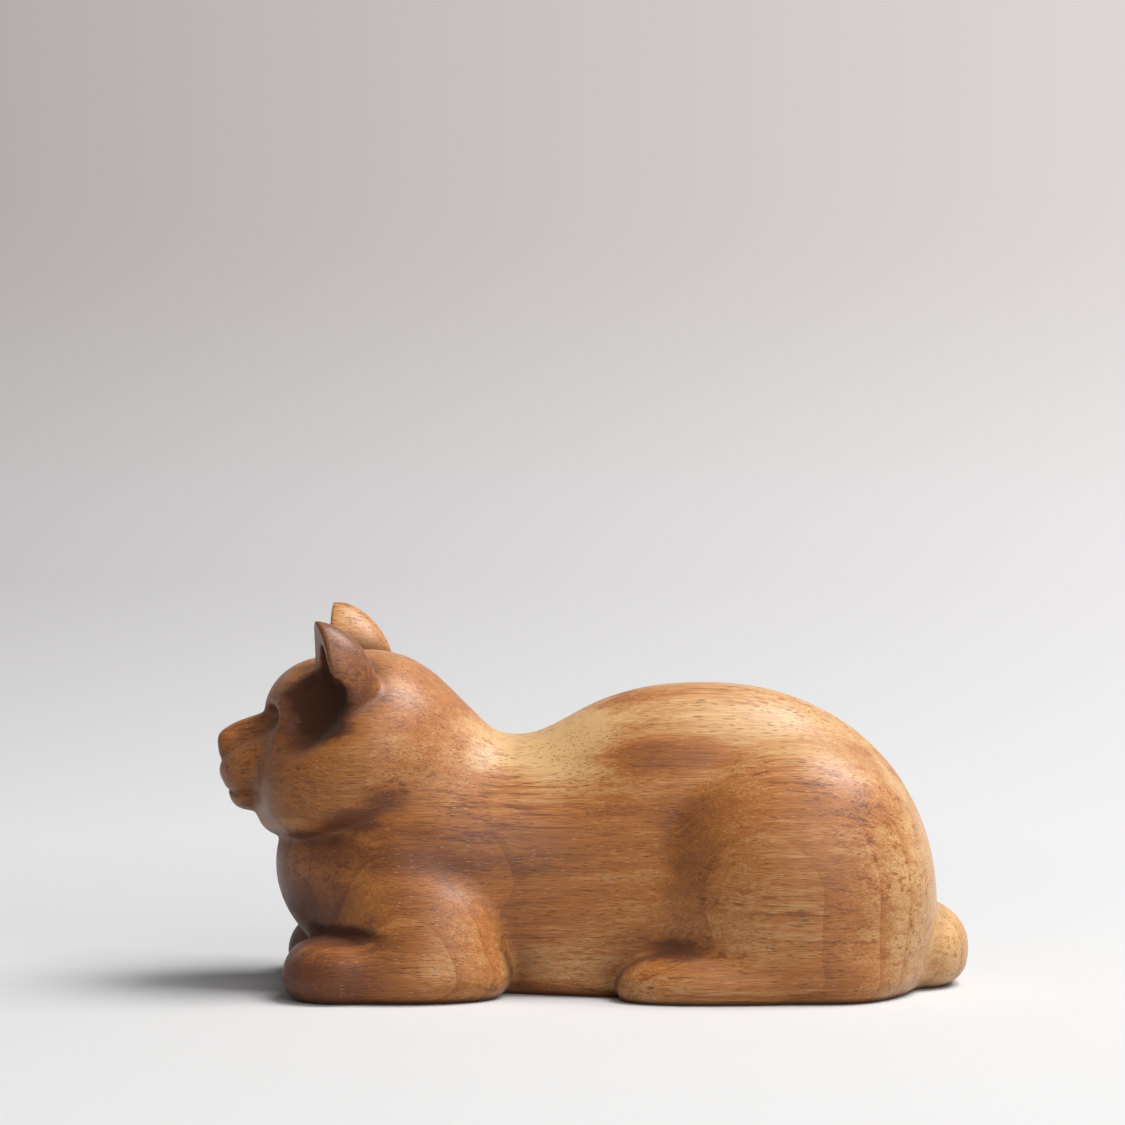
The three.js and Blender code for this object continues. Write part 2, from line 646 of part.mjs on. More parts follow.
/** Draws the surface where the distance is zero as one closed, indexed geometry. */
function surfaceOf(distance, xs, ys, zs) {
  const at = (i, j, k) => (i * ys.length + j) * zs.length + k;
  const values = new Float64Array(xs.length * ys.length * zs.length);
  xs.forEach((x, i) => ys.forEach((y, j) => zs.forEach((z, k) => {
    values[at(i, j, k)] = distance(x, y, z);
  })));
  let saddles = fillSaddles(values, at, [xs.length, ys.length, zs.length]);
  while (saddles > 0) {
    saddles = fillSaddles(values, at, [xs.length, ys.length, zs.length]);
  }

  const corners = [0, 1, 2, 3, 4, 5, 6, 7].map((bits) => [bits & 1, (bits >> 1) & 1, bits >> 2]);
  const edges = corners.flatMap((corner, from) =>
    [1, 2, 4].filter((bit) => !(from & bit)).map((bit) => [from, from | bit]));
  const vertexOf = new Map();
  const cells = [];
  let places = [];
  for (let i = 0; i < xs.length - 1; i += 1) {
    for (let j = 0; j < ys.length - 1; j += 1) {
      for (let k = 0; k < zs.length - 1; k += 1) {
        const level = corners.map(([a, b, c]) => values[at(i + a, j + b, k + c)]);
        const crossed = edges.filter(([from, to]) => level[from] < 0 !== level[to] < 0);
        if (crossed.length === 0) {
          continue;
        }
        const middle = new THREE.Vector3();
        for (const [from, to] of crossed) {
          const share = level[from] / (level[from] - level[to]);
          const [a, b, c] = corners[from];
          const [d, e, f] = corners[to];
          middle.x += lerp(xs[i + a], xs[i + d], share);
          middle.y += lerp(ys[j + b], ys[j + e], share);
          middle.z += lerp(zs[k + c], zs[k + f], share);
        }
        middle.divideScalar(crossed.length);
        const cell = new THREE.Box3(
          new THREE.Vector3(xs[i], ys[j], zs[k]),
          new THREE.Vector3(xs[i + 1], ys[j + 1], zs[k + 1]),
        ).expandByScalar(-CELL_MARGIN);
        vertexOf.set(at(i, j, k), places.length);
        places.push(settle(distance, middle, cell, FIRST_SETTLES));
        cells.push(cell);
      }
    }
  }

  const rings = [];
  const addQuad = (ring, inward) => {
    rings.push((inward ? ring.slice().reverse() : ring).map((cell) => vertexOf.get(cell)));
  };
  for (let i = 1; i < xs.length - 1; i += 1) {
    for (let j = 1; j < ys.length - 1; j += 1) {
      for (let k = 1; k < zs.length - 1; k += 1) {
        const inside = values[at(i, j, k)] < 0;
        if (inside !== values[at(i + 1, j, k)] < 0) {
          addQuad([at(i, j - 1, k - 1), at(i, j, k - 1), at(i, j, k), at(i, j - 1, k)], !inside);
        }
        if (inside !== values[at(i, j + 1, k)] < 0) {
          addQuad([at(i - 1, j, k - 1), at(i - 1, j, k), at(i, j, k), at(i, j, k - 1)], !inside);
        }
        if (inside !== values[at(i, j, k + 1)] < 0) {
          addQuad([at(i - 1, j - 1, k), at(i, j - 1, k), at(i, j, k), at(i - 1, j, k)], !inside);
        }
      }
    }
  }
  for (let pass = 0; pass < RELAX_PASSES; pass += 1) {
    places = relax(distance, places, cells, rings);
  }
  const index = rings.flatMap(([a, b, c, d]) => {
    const short = places[a].distanceTo(places[c]) < places[b].distanceTo(places[d]);
    return short ? [a, b, c, a, c, d] : [b, c, d, b, d, a];
  });
  const geometry = new THREE.BufferGeometry();
  geometry.setAttribute("position", new THREE.Float32BufferAttribute(places.flatMap((p) => [...p]), 3));
  geometry.setIndex(index);
  return geometry;
}

const wasm = await Module();
wasm.setup();

/** Turns a closed, indexed geometry into a solid that can be cut. */
function solidFrom(geometry) {
  return new wasm.Manifold(new wasm.Mesh({
    numProp: 3,
    vertProperties: new Float32Array(geometry.attributes.position.array),
    triVerts: new Uint32Array(geometry.index.array),
  }));
}

/** Turns a cut solid back into a geometry. */
function geometryFrom(solid) {
  const { vertProperties, triVerts } = solid.getMesh();
  const geometry = new THREE.BufferGeometry();
  geometry.setAttribute("position", new THREE.BufferAttribute(vertProperties, 3));
  geometry.setIndex(new THREE.BufferAttribute(triVerts, 1));
  geometry.computeVertexNormals();
  return geometry;
}

/** A block that fills everything under the base plane, with its corners welded. */
function blockUnderBase(length, width, depth) {
  const block = new THREE.BoxGeometry(length, width, depth).translate(0, 0, -depth / 2);
  block.deleteAttribute("normal");
  block.deleteAttribute("uv");
  return mergeVertices(block, 1e-4);
}

const noseReach = SKULL_X - NOSE_TIP_AHEAD - 2 * NOSE_TIP_HALF_LENGTH;
const rumpReach = Math.max(
  RUMP_MIDDLE_X + RUMP_HALF_LENGTH,
  tailPath.at[0] + TAIL_PATH_HALF_LENGTH,
  HAUNCH_X + HAUNCH_HALF_LENGTH,
) + 2 * TAIL_ROOT_RADIUS;
const sideReach = Math.max(HAUNCH_OUT + HAUNCH_HALF_WIDTH, TAIL_PATH_HALF_WIDTH) + 3 * TAIL_TIP_RADIUS;
const topReach = Math.max(
  HEAD_MIDDLE_Z + EAR_UP + EAR_HALF_HEIGHT + 2 * FAR_EAR_EXTRA_HEIGHT,
  RUMP_MIDDLE_Z + RUMP_RISE,
) + 2 * FINE_GAP;

const xs = gridLines(noseReach, rumpReach, (x) =>
  lerp(FINE_GAP, COARSE_GAP, rise(x, SKULL_X, SKULL_RADIUS)));
const ys = mirroredLines(sideReach, (y) =>
  lerp(MIDLINE_GAP, ACROSS_GAP, rise(Math.abs(y), NOSE_TIP_HALF_WIDTH, MUZZLE_HALF_WIDTH)));
const zs = [
  -2 * LOW_GAP,
  -LOW_GAP,
  ...gridLines(0, topReach, (z) =>
    lerp(LOW_GAP, FINE_GAP, rise(z, HEAD_MIDDLE_Z - SKULL_RADIUS, MUZZLE_HALF_LENGTH))),
];

const blank = solidFrom(surfaceOf(catDistance, xs, ys, zs));
const ground = solidFrom(blockUnderBase(4 * rumpReach, 4 * sideReach, 10 * DEPTH_BELOW_BASE));
const carvedCat = new THREE.Mesh(geometryFrom(blank.subtract(ground)), WOOD);
carvedCat.name = "carved_cat";

const cat = new THREE.Group();
cat.add(carvedCat);

export default cat;
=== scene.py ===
"""A cat lying on its folded legs, carved from one block of oiled brown hardwood.

The carving is one solid, so its sub-assemblies (trunk, hind legs, forelegs, tail, head and ears)
are fields of distances that are blended into each other, as a carver leaves them, and the surface
is drawn where the whole field is zero. Sizes are millimetres until the mesh is made, in metres.
The nose points to -X, +Z is up, and the cat's left flank faces -Y and the camera.
"""

import logging
import math
from collections.abc import Callable
from dataclasses import dataclass, field
from enum import Enum
from functools import reduce

import bpy
import numpy as np
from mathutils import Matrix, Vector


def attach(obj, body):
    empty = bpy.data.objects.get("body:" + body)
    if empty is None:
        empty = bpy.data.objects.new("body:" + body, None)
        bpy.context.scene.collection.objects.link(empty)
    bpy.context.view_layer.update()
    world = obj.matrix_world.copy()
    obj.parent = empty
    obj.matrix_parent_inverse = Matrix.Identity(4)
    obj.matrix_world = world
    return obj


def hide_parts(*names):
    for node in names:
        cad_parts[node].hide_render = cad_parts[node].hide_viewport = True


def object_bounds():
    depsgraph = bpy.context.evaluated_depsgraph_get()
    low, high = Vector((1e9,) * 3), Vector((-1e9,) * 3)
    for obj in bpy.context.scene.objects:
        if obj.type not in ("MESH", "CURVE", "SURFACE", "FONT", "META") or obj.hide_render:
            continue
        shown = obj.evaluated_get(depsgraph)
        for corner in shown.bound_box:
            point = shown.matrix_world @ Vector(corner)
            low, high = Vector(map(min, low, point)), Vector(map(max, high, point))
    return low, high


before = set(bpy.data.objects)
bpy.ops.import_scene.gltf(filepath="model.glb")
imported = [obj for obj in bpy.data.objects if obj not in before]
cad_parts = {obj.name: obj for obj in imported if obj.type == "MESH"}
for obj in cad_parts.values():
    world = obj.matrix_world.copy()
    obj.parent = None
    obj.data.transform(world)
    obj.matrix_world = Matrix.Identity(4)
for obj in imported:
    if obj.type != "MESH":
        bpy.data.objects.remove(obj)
CAD_BOX = [list(corner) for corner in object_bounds()]

MM = 0.001
TINY = 1e-6
JUST_INSIDE = -1e-3
CORNERS = [(a, b, c) for a in (0, 1) for b in (0, 1) for c in (0, 1)]

logging.basicConfig(level=logging.INFO, format="%(message)s")
log = logging.getLogger("cat")

Numbers = np.ndarray
Spot = tuple[Numbers, Numbers, Numbers]  # places along, across and up
Place = tuple[float, float, float]
Span = tuple[float, float]
Colour = tuple[float, float, float, float]
Field = Callable[[Spot], Numbers]
Tree = bpy.types.NodeTree
Node = bpy.types.Node
Socket = bpy.types.NodeSocket
Sockets = bpy.types.NodeOutputs


def blend(a: Numbers, b: Numbers, softness: Numbers | float) -> Numbers:
    """Joins two forms with a soft hollow between them.

    Args:
        a: distances to the first form.
        b: distances to the second form.
        softness: width of the blend in millimetres, above zero.

    Returns:
        Distances to both forms together.
    """
    near = np.maximum(softness - np.abs(a - b), 0) / softness
    return np.minimum(a, b) - near**3 * softness / 6


def carve(a: Numbers, b: Numbers, softness: float) -> Numbers:
    """Cuts the second form out of the first and softens the edge.

    Args:
        a: distances to the form that is cut.
        b: distances to the form that is taken away.
        softness: width of the rounded edge in millimetres.

    Returns:
        Distances to what is left.
    """
    return -blend(-a, b, softness)


def rise(value: Numbers, start: float, length: float) -> Numbers:
    """Rises smoothly from 0 to 1.

    Args:
        value: where to read the rise.
        start: value at which it leaves 0.
        length: how far on it reaches 1.

    Returns:
        Numbers from 0 to 1.
    """
    share = np.clip((value - start) / length, 0, 1)
    return share * share * (3 - 2 * share)


def crease(off: Numbers, width: float) -> Numbers:
    """Says how much of a crease is left beside its line.

    Args:
        off: distance from the line.
        width: distance at which about a third is left.

    Returns:
        1 on the line, fading to 0 beside it.
    """
    return np.exp(-((off / width) ** 2))


def slopes(distance: Field, places: Numbers, nudge: float) -> Numbers:
    """Works out which way a field rises, and how fast.

    Args:
        distance: the field.
        places: where to look.
        nudge: half the step over which the rise is read.

    Returns:
        One slope for each place.
    """
    steps = np.eye(3) * nudge
    return np.stack([distance((places + s).T) - distance((places - s).T) for s in steps], 1) / (2 * nudge)


@dataclass(frozen=True)
class Egg:
    """A rounded form: a squareness of 2 is an ellipsoid and a higher one is boxier.

    Its softness is the width of its joint with what it grows on or is cut from.
    """

    at: Place
    half: Place
    squareness: float = 2.0
    lean: float = 0.0
    softness: float = 1.0

    def distance(self, spot: Spot) -> Numbers:
        """Works out distances to the form's surface.

        Args:
            spot: places along the cat, across it and up.

        Returns:
            Distances, below zero inside the form.
        """
        x, y, z = spot
        dx, dz = x - self.at[0], z - self.at[2]
        sin, cos = math.sin(self.lean), math.cos(self.lean)
        a = np.abs(cos * dx - sin * dz) / self.half[0]
        b = np.abs(y - self.at[1]) / self.half[1]
        c = np.abs(sin * dx + cos * dz) / self.half[2]
        p = self.squareness
        ap, bp, cp = a ** (p - 1), b ** (p - 1), c ** (p - 1)
        level = (ap * a + bp * b + cp * c) ** (1 / p)
        slope = np.sqrt((ap / self.half[0]) ** 2 + (bp / self.half[1]) ** 2 + (cp / self.half[2]) ** 2)
        return (level - 1) * np.maximum(level, TINY) ** (p - 1) / np.maximum(slope, TINY)

    def grow(self, body: Numbers, spot: Spot) -> Numbers:
        """Joins the form onto a body with a soft hollow between them."""
        return blend(body, self.distance(spot), self.softness)

    def cut(self, body: Numbers, spot: Spot) -> Numbers:
        """Cuts the form out of a body and rounds the edge."""
        return carve(body, self.distance(spot), self.softness)


@dataclass
class Trunk:
    """Rump, waist and chest."""

    rump: Egg = Egg((22.0, 0.0, 14.0), (46.2, 20.6, 46.4), 2.2)
    waist: Egg = Egg((-14.0, 0.0, 22.0), (31.0, 18.8, 27.6), softness=8.0)
    chest: Egg = Egg((-33.0, 0.0, 24.5), (30.0, 20.5, 23.5), softness=8.0)

    def distance(self, spot: Spot) -> Numbers:
        """Gives distances to the trunk without its legs."""
        return self.chest.grow(self.waist.grow(self.rump.distance(spot), spot), spot)


@dataclass
class HindLegs:
    """Haunches, shanks and hind feet, the same on both sides."""

    haunch: Egg = Egg((38.5, 12.2, 19.0), (27.2, 16.6, 29.4), 2.05)
    foot: Egg = Egg((23.0, 20.2, 1.8), (19.4, 8.9, 8.5), 2.4, softness=2.5)
    shank_reach: Span = (32.0, 47.0)
    shank_out: float = 16.2
    shank_z: float = 4.5
    shank_radius: float = 10.8
    shank_blend: float = 8.0
    front_blend: float = 3.0
    back_blend: float = 13.0
    low_blend: float = 6.0
    low_top: float = 30.0
    low_drop: float = 18.0
    blend_start: float = 24.0
    blend_length: float = 28.0
    spine_softness: float = 4.0

    def shank(self, x: Numbers, out: Numbers, z: Numbers) -> Numbers:
        """Gives distances to the shank, a round bar with round ends that lies along the side."""
        off = x - np.clip(x, *self.shank_reach)
        return np.sqrt(off**2 + (out - self.shank_out) ** 2 + (z - self.shank_z) ** 2) - self.shank_radius

    def join(self, trunk: Numbers, spot: Spot) -> Numbers:
        """Grows the legs out of the trunk: crisp at the front of the thigh, soft over the rump.

        Args:
            trunk: distances to the trunk.
            spot: places along the cat, across it and up.

        Returns:
            Distances to the trunk with its hind legs.
        """
        x, y, z = spot
        out = np.hypot(y, self.spine_softness)
        thigh = blend(self.haunch.distance((x, out, z)), self.shank(x, out, z), self.shank_blend)
        share = rise(x, self.blend_start, self.blend_length)
        low = rise(-z, -self.low_top, self.low_drop)
        front = self.front_blend + (self.low_blend - self.front_blend) * low
        softness = front + (self.back_blend - front) * share
        return self.foot.grow(blend(trunk, thigh, softness), (x, np.abs(y), z))


@dataclass
class Forelegs:
    """Forelegs folded under the chest; the far paw lies a little ahead."""

    forearm: Egg = Egg((-37.4, 17.6, 5.2), (21.5, 10.6, 8.8))
    paw: Egg = Egg((-49.8, 18.6, 5.2), (9.6, 9.4, 7.2), softness=5.0)
    shoulder: Egg = Egg((-33.0, 12.0, 10.0), (17.6, 15.0, 17.2), lean=0.5, softness=4.0)
    back_blend: float = 3.0
    front_blend: float = 12.0
    blend_start: float = 24.0
    blend_length: float = 20.0
    far_lead: float = 2.5
    lead_start: float = 20.0
    lead_length: float = 30.0
    fold_depth: float = 1.2
    fold_width: float = 1.3
    fold_z: float = 12.2
    fold_reach: Span = (-59.4, -40.0)
    fold_out: float = 9.6
    fold_fade: float = 6.0

    def join(self, trunk: Numbers, spot: Spot) -> Numbers:
        """Grows the forelegs out of the chest and presses the fold in over each paw.

        Args:
            trunk: distances to the trunk.
            spot: places along the cat, across it and up.

        Returns:
            Distances to the trunk with its forelegs.
        """
        x, y, z = spot
        out = np.abs(y)
        along = x + np.where(y > 0, self.far_lead, 0.0) * rise(-x, self.lead_start, self.lead_length)
        side = (along, out, z)
        leg = self.shoulder.grow(self.paw.grow(self.forearm.distance(side), side), side)
        share = rise(-along, self.blend_start, self.blend_length)
        softness = self.back_blend + (self.front_blend - self.back_blend) * share
        front, back = self.fold_reach
        fold = rise(along, front, self.fold_fade) * rise(-along, -back, self.fold_fade)
        fold = fold * rise(out, self.fold_out, self.fold_fade) * crease(z - self.fold_z, self.fold_width)
        return blend(trunk, leg, softness) + self.fold_depth * fold


@dataclass
class Tail:
    """The tail, laid round the far haunch on a path that is a rounded rectangle from above."""

    path: Egg = Egg((28.0, 4.0, 0.0), (39.2, 19.5, 1.0), 2.6)
    root_radius: float = 8.3
    tip_radius: float = 3.0
    lie: float = 0.4
    root_angle: float = -0.15
    root_fade: float = 0.6
    thinning: Span = (0.3, 2.3)
    end_angle: float = 1.75
    end_fade: float = 0.16
    softness: float = 2.5

    def distance(self, spot: Spot) -> Numbers:
        """Works out distances to the tail, a tube with a round cap at each end.

        Args:
            spot: places along the cat, across it and up.

        Returns:
            Distances, below zero inside the tail.
        """
        x, y, z = spot
        along = (x - self.path.at[0]) / self.path.half[0]
        across = (y - self.path.at[1]) / self.path.half[1]
        angle = np.arctan2(across, along)
        start, end = self.thinning
        radius = self.root_radius + (self.tip_radius - self.root_radius) * rise(angle, start, end - start)
        past_end = (angle - self.end_angle) / self.end_fade
        past_root = (self.root_angle - angle) / self.root_fade
        past = np.maximum(np.maximum(past_end, past_root), 0)
        cap = np.where(past < 1, np.sqrt(np.clip(1 - past**2, 0, 1)), 1 - past)
        off_path = self.path.distance((x, y, np.zeros_like(z)))
        return np.hypot(off_path, z - radius + self.lie) - radius * cap


@dataclass
class Ear:
    """One pointed ear: the rear half of an egg with its front scooped out, in the head's own frame."""

    extra_height: float = 0.0
    setback: float = 0.0
    at: Place = (-9.2, 14.2, 14.2)
    half: Place = (12.4, 7.0, 13.2)
    squareness: float = 1.8
    splay: float = 0.10
    front_offset: Place = (-23.2, 33.0, 2.6)
    front_half: Place = (30.0, 60.0, 36.0)
    scoop_offset: Place = (1.8, 0.6, -0.6)
    scoop_half: Place = (3.6, 4.2, 9.0)
    rim_softness: float = 0.9

    def distance(self, spot: Spot) -> Numbers:
        """Works out distances to the ear.

        Args:
            spot: places along the head, out from its midline and up from the skull's middle.

        Returns:
            Distances, below zero inside the ear.
        """
        grown = self.extra_height / 2
        at = (self.at[0] + self.setback, self.at[1], self.at[2] + grown)
        length, width, height = self.half
        shell = Egg(at, (length, width, height + grown), self.squareness)
        x, out, z = spot
        splayed = (x, out - self.splay * (z - at[2]), z)
        ear = shell.distance(splayed)
        for offset, half in ((self.front_offset, self.front_half), (self.scoop_offset, self.scoop_half)):
            middle = tuple(a + b for a, b in zip(at, offset))
            ear = Egg(middle, half, softness=self.rim_softness).cut(ear, splayed)
        return ear


@dataclass
class Head:
    """Skull, face, ears and nape; the head is slightly turned and tilted towards the near side."""

    at: Place = (-44.5, 0.0, 46.5)
    turn: float = 0.02
    tilt: float = 0.06
    skull: Egg = Egg((0.0, 0.0, 0.0), (20.4, 20.4, 20.4))
    forehead: Egg = Egg((-8.8, 0.0, 7.6), (12.0, 13.2, 11.2), softness=3.0)
    cheeks: Egg = Egg((-5.0, 0.0, -4.8), (17.0, 20.0, 12.4), 2.45, -0.2, 6.0)
    jaw: Egg = Egg((-15.8, 0.0, -9.8), (7.2, 9.0, 5.6), lean=-0.8, softness=4.5)
    muzzle: Egg = Egg((-19.6, 0.0, -0.7), (10.7, 8.6, 5.4), 2.7, -0.49, 4.0)
    chin: Egg = Egg((-22.2, 0.0, -7.0), (6.0, 6.0, 4.2), lean=-0.5, softness=3.0)
    socket: Egg = Egg((-22.0, 7.4, 7.0), (5.2, 5.0, 3.0), lean=-0.3, softness=3.0)
    bridge: Egg = Egg((-22.2, 0.0, 3.8), (7.8, 3.1, 3.5), 3.0, -0.32, 1.6)
    tip: Egg = Egg((-27.2, 0.0, 1.3), (2.9, 3.5, 3.2), 3.0, -0.1, 1.0)
    temple: Egg = Egg((-10.4, 16.2, 9.8), (5.6, 6.4, 9.6), lean=0.8, softness=4.5)
    nape: Egg = Egg((-36.0, 0.0, 43.0), (17.0, 16.0, 16.6), softness=4.0)
    near_ear: Ear = field(default_factory=Ear)
    far_ear: Ear = field(default_factory=lambda: Ear(extra_height=1.7, setback=0.8))
    ear_blend: float = 2.0
    mouth_down: float = 7.3
    mouth_depth: float = 0.55
    mouth_width: float = 0.6
    mouth_corner: float = 21.0
    mouth_fade: float = 2.5
    bow_height: float = 0.4
    bow_width: float = 1.6
    sag_depth: float = 0.5
    sag_out: float = 4.0
    sag_width: float = 2.5
    lip_depth: float = 0.5
    lip_width: float = 0.7
    lip_top: float = 1.4
    lip_fade: float = 1.0
    lip_front: float = 24.0
    lip_reach: float = 3.0

    def face(self, spot: Spot) -> Numbers:
        """Works out distances to the skull with the face carved on it.

        Args:
            spot: places along the head, across it and up from the skull's middle.

        Returns:
            Distances, below zero inside the head.
        """
        x, y, z = spot
        half = (x, np.abs(y), z)
        d = self.skull.distance(spot)
        for form in (self.forehead, self.cheeks, self.jaw, self.muzzle, self.chin):
            d = form.grow(d, spot)
        d = self.socket.cut(d, half)
        d = self.tip.grow(self.bridge.grow(d, spot), spot)
        return d + self.mouth(half) + self.lip(x, y, z)

    def mouth(self, spot: Spot) -> Numbers:
        """Works out the mouth line, which bows up at the midline and sags beside it.

        Args:
            spot: places along the head, out from its midline and up from the skull's middle.

        Returns:
            Depths of the line.
        """
        x, out, z = spot
        bow = self.bow_height * crease(out, self.bow_width)
        line = bow - self.sag_depth * crease(out - self.sag_out, self.sag_width) - self.mouth_down
        open_part = rise(-x, self.mouth_corner, self.mouth_fade)
        return self.mouth_depth * crease(z - line, self.mouth_width) * open_part

    def lip(self, x: Numbers, y: Numbers, z: Numbers) -> Numbers:
        """Gives the depth of the upright line from the nose to the mouth."""
        upright = rise(-z, self.lip_top, self.lip_fade) * rise(z, -self.mouth_down, self.lip_fade)
        return self.lip_depth * crease(y, self.lip_width) * upright * rise(-x, self.lip_front, self.lip_reach)

    def distance(self, spot: Spot) -> Numbers:
        """Works out distances to the whole head.

        Args:
            spot: places along the cat, across it and up.

        Returns:
            Distances, below zero inside the head.
        """
        dx, dy, dz = (line - middle for line, middle in zip(spot, self.at))
        sin, cos = math.sin(self.turn), math.cos(self.turn)
        dx, dy = cos * dx - sin * dy, sin * dx + cos * dy
        sin, cos = math.sin(self.tilt), math.cos(self.tilt)
        dy, dz = cos * dy + sin * dz, cos * dz - sin * dy
        half = (dx, np.abs(dy), dz)
        ear = np.where(dy > 0, self.far_ear.distance(half), self.near_ear.distance(half))
        d = self.temple.cut(blend(self.face((dx, dy, dz)), ear, self.ear_blend), half)
        return self.nape.grow(d, spot)


@dataclass
class SurfaceNet:
    """Draws the surface where a field of distances is zero, on a grid with uneven lines."""

    xs: Numbers
    ys: Numbers
    zs: Numbers
    block: int = 8
    band_share: float = 0.75
    band_extra: float = 2.0
    margin_share: float = 0.02
    nudge: float = 0.02
    least_slope: float = 0.1

    def values(self, distance: Field) -> Numbers:
        """Reads the field at every crossing of the grid, exactly only near the surface.

        Args:
            distance: the field.

        Returns:
            Distances on the grid.
        """
        lines = (self.xs, self.ys, self.zs)
        blocks = [np.arange(len(line)) // self.block for line in lines]
        parts = [[line[b == i] for i in range(b[-1] + 1)] for line, b in zip(lines, blocks)]
        middles = [np.array([part.mean() for part in line]) for line in parts]
        spans = [max(np.ptp(part) for part in line) for line in parts]
        coarse = distance(np.meshgrid(*middles, indexing="ij"))
        values = coarse[np.ix_(*blocks)]
        near = np.abs(values) < self.band_share * math.hypot(*spans) + self.band_extra
        i, j, k = np.nonzero(near)
        values[near] = distance((self.xs[i], self.ys[j], self.zs[k]))
        return values

    @staticmethod
    def fill_saddles(values: Numbers) -> int:
        """Fills one corner of each grid square whose corners change side both ways.

        Args:
            values: distances on the grid, which are changed in place.

        Returns:
            How many corners were filled.
        """
        filled = 0
        for a, b in ((0, 1), (1, 2), (2, 0)):
            v = np.moveaxis(values, (a, b), (0, 1))
            p, q, r, s = v[:-1, :-1], v[1:, :-1], v[1:, 1:], v[:-1, 1:]
            twisted = ((p < 0) == (r < 0)) & ((q < 0) == (s < 0)) & ((p < 0) != (q < 0))
            for i, j, k in np.argwhere(twisted):
                ring = [(i, j, k), (i + 1, j, k), (i + 1, j + 1, k), (i, j + 1, k)]
                open_ones = [corner for corner in ring if v[corner] >= 0]
                if open_ones:
                    v[min(open_ones, key=lambda corner: v[corner])] = JUST_INSIDE
                    filled += 1
        return filled

    def draw(self, distance: Field, passes: int = 3) -> tuple[Numbers, Numbers]:
        """Draws the surface as quads and pulls their corners onto it.

        Args:
            distance: the field.
            passes: how many times the corners are pulled.

        Returns:
            Places of the corners, and four corner numbers for each face.
        """
        values = self.values(distance)
        while self.fill_saddles(values) > 0:
            log.info("saddle squares filled")
        inside = values < 0
        cells = tuple(n - 1 for n in inside.shape)
        shifted = [tuple(slice(a, a + n) for a, n in zip(corner, cells)) for corner in CORNERS]
        count = sum(inside[part].astype(np.int8) for part in shifted)
        i, j, k = np.nonzero((count > 0) & (count < 8))
        number = np.full(cells, -1)
        number[i, j, k] = np.arange(len(i))
        low = np.stack([self.xs[i], self.ys[j], self.zs[k]], 1)
        high = np.stack([self.xs[i + 1], self.ys[j + 1], self.zs[k + 1]], 1)
        places = self.crossing_middles(values, (i, j, k), low, high)
        margin = self.margin_share * (high - low)
        for _ in range(passes):
            places = np.clip(self.pull(distance, places, (high - low).min(1)), low + margin, high - margin)
        return places, self.quads(inside, number)

    def crossing_middles(self, values: Numbers, cell: tuple, low: Numbers, high: Numbers) -> Numbers:
        """Finds the middle of the places where the surface crosses each cell's edges.

        Args:
            values: distances on the grid.
            cell: grid numbers of the cells.
            low: lowest corner of each cell.
            high: highest corner of each cell.

        Returns:
            One place for each cell.
        """
        i, j, k = cell
        total = np.zeros((len(i), 3))
        crossed = np.zeros(len(i))
        level = {c: values[i + c[0], j + c[1], k + c[2]] for c in CORNERS}
        for start in CORNERS:
            for axis in range(3):
                if start[axis]:
                    continue
                end = tuple(n + (axis == m) for m, n in enumerate(start))
                change = (level[start] < 0) != (level[end] < 0)
                gap = np.where(change, level[start] - level[end], 1.0)
                share = np.where(change, level[start] / gap, 0.0)
                at = np.where(start, high, low)
                at[:, axis] = low[:, axis] + share * (high - low)[:, axis]
                total += at * change[:, None]
                crossed += change
        return total / crossed[:, None]

    def pull(self, distance: Field, places: Numbers, reach: Numbers) -> Numbers:
        """Moves places onto the surface along the field's steepest way.

        Args:
            distance: the field.
            places: the places to move.
            reach: how far each one may move at most, times three.

        Returns:
            The moved places.
        """
        slope = slopes(distance, places, self.nudge)
        step = distance(places.T) / np.maximum((slope**2).sum(1), self.least_slope)
        return places - slope * np.clip(step, -reach / 3, reach / 3)[:, None]

    @staticmethod
    def quads(inside: Numbers, number: Numbers) -> Numbers:
        """Lays a face across each grid edge that the surface crosses.

        Args:
            inside: whether each crossing of the grid is inside the form.
            number: number of each cell's corner place, or -1.

        Returns:
            Four corner numbers for each face, facing out.
        """
        faces = []
        around = {0: ((0, -1, -1), (0, 0, -1), (0, 0, 0), (0, -1, 0))}
        around[1] = ((-1, 0, -1), (-1, 0, 0), (0, 0, 0), (0, 0, -1))
        around[2] = ((-1, -1, 0), (0, -1, 0), (0, 0, 0), (-1, 0, 0))
        for axis, ring in around.items():
            ahead = np.roll(inside, -1, axis)
            change = inside != ahead
            for edge in range(3):
                change[tuple(0 if edge == m else slice(None) for m in range(3))] = False
                change[tuple(-1 if edge == m else slice(None) for m in range(3))] = False
            at = np.argwhere(change)
            quad = np.stack([number[tuple((at + np.array(off)).T)] for off in ring], 1)
            out = inside[tuple(at.T)]
            faces.append(np.where(out[:, None], quad, quad[:, ::-1]))
        return np.concatenate(faces)


def graded_lines(start: float, end: float, stops: Span, gaps: Span) -> Numbers:
    """Lays grid lines from one place past another, with gaps that change smoothly on the way.

    Args:
        start: first line.
        end: place that the last line passes.
        stops: the two places between which the gap changes.
        gaps: the gap up to the first of them and from the second one on.

    Returns:
        The lines.
    """
    lines = [start]
    while lines[-1] < end:
        lines.append(lines[-1] + float(np.interp(lines[-1], stops, gaps)))
    return np.array(lines)


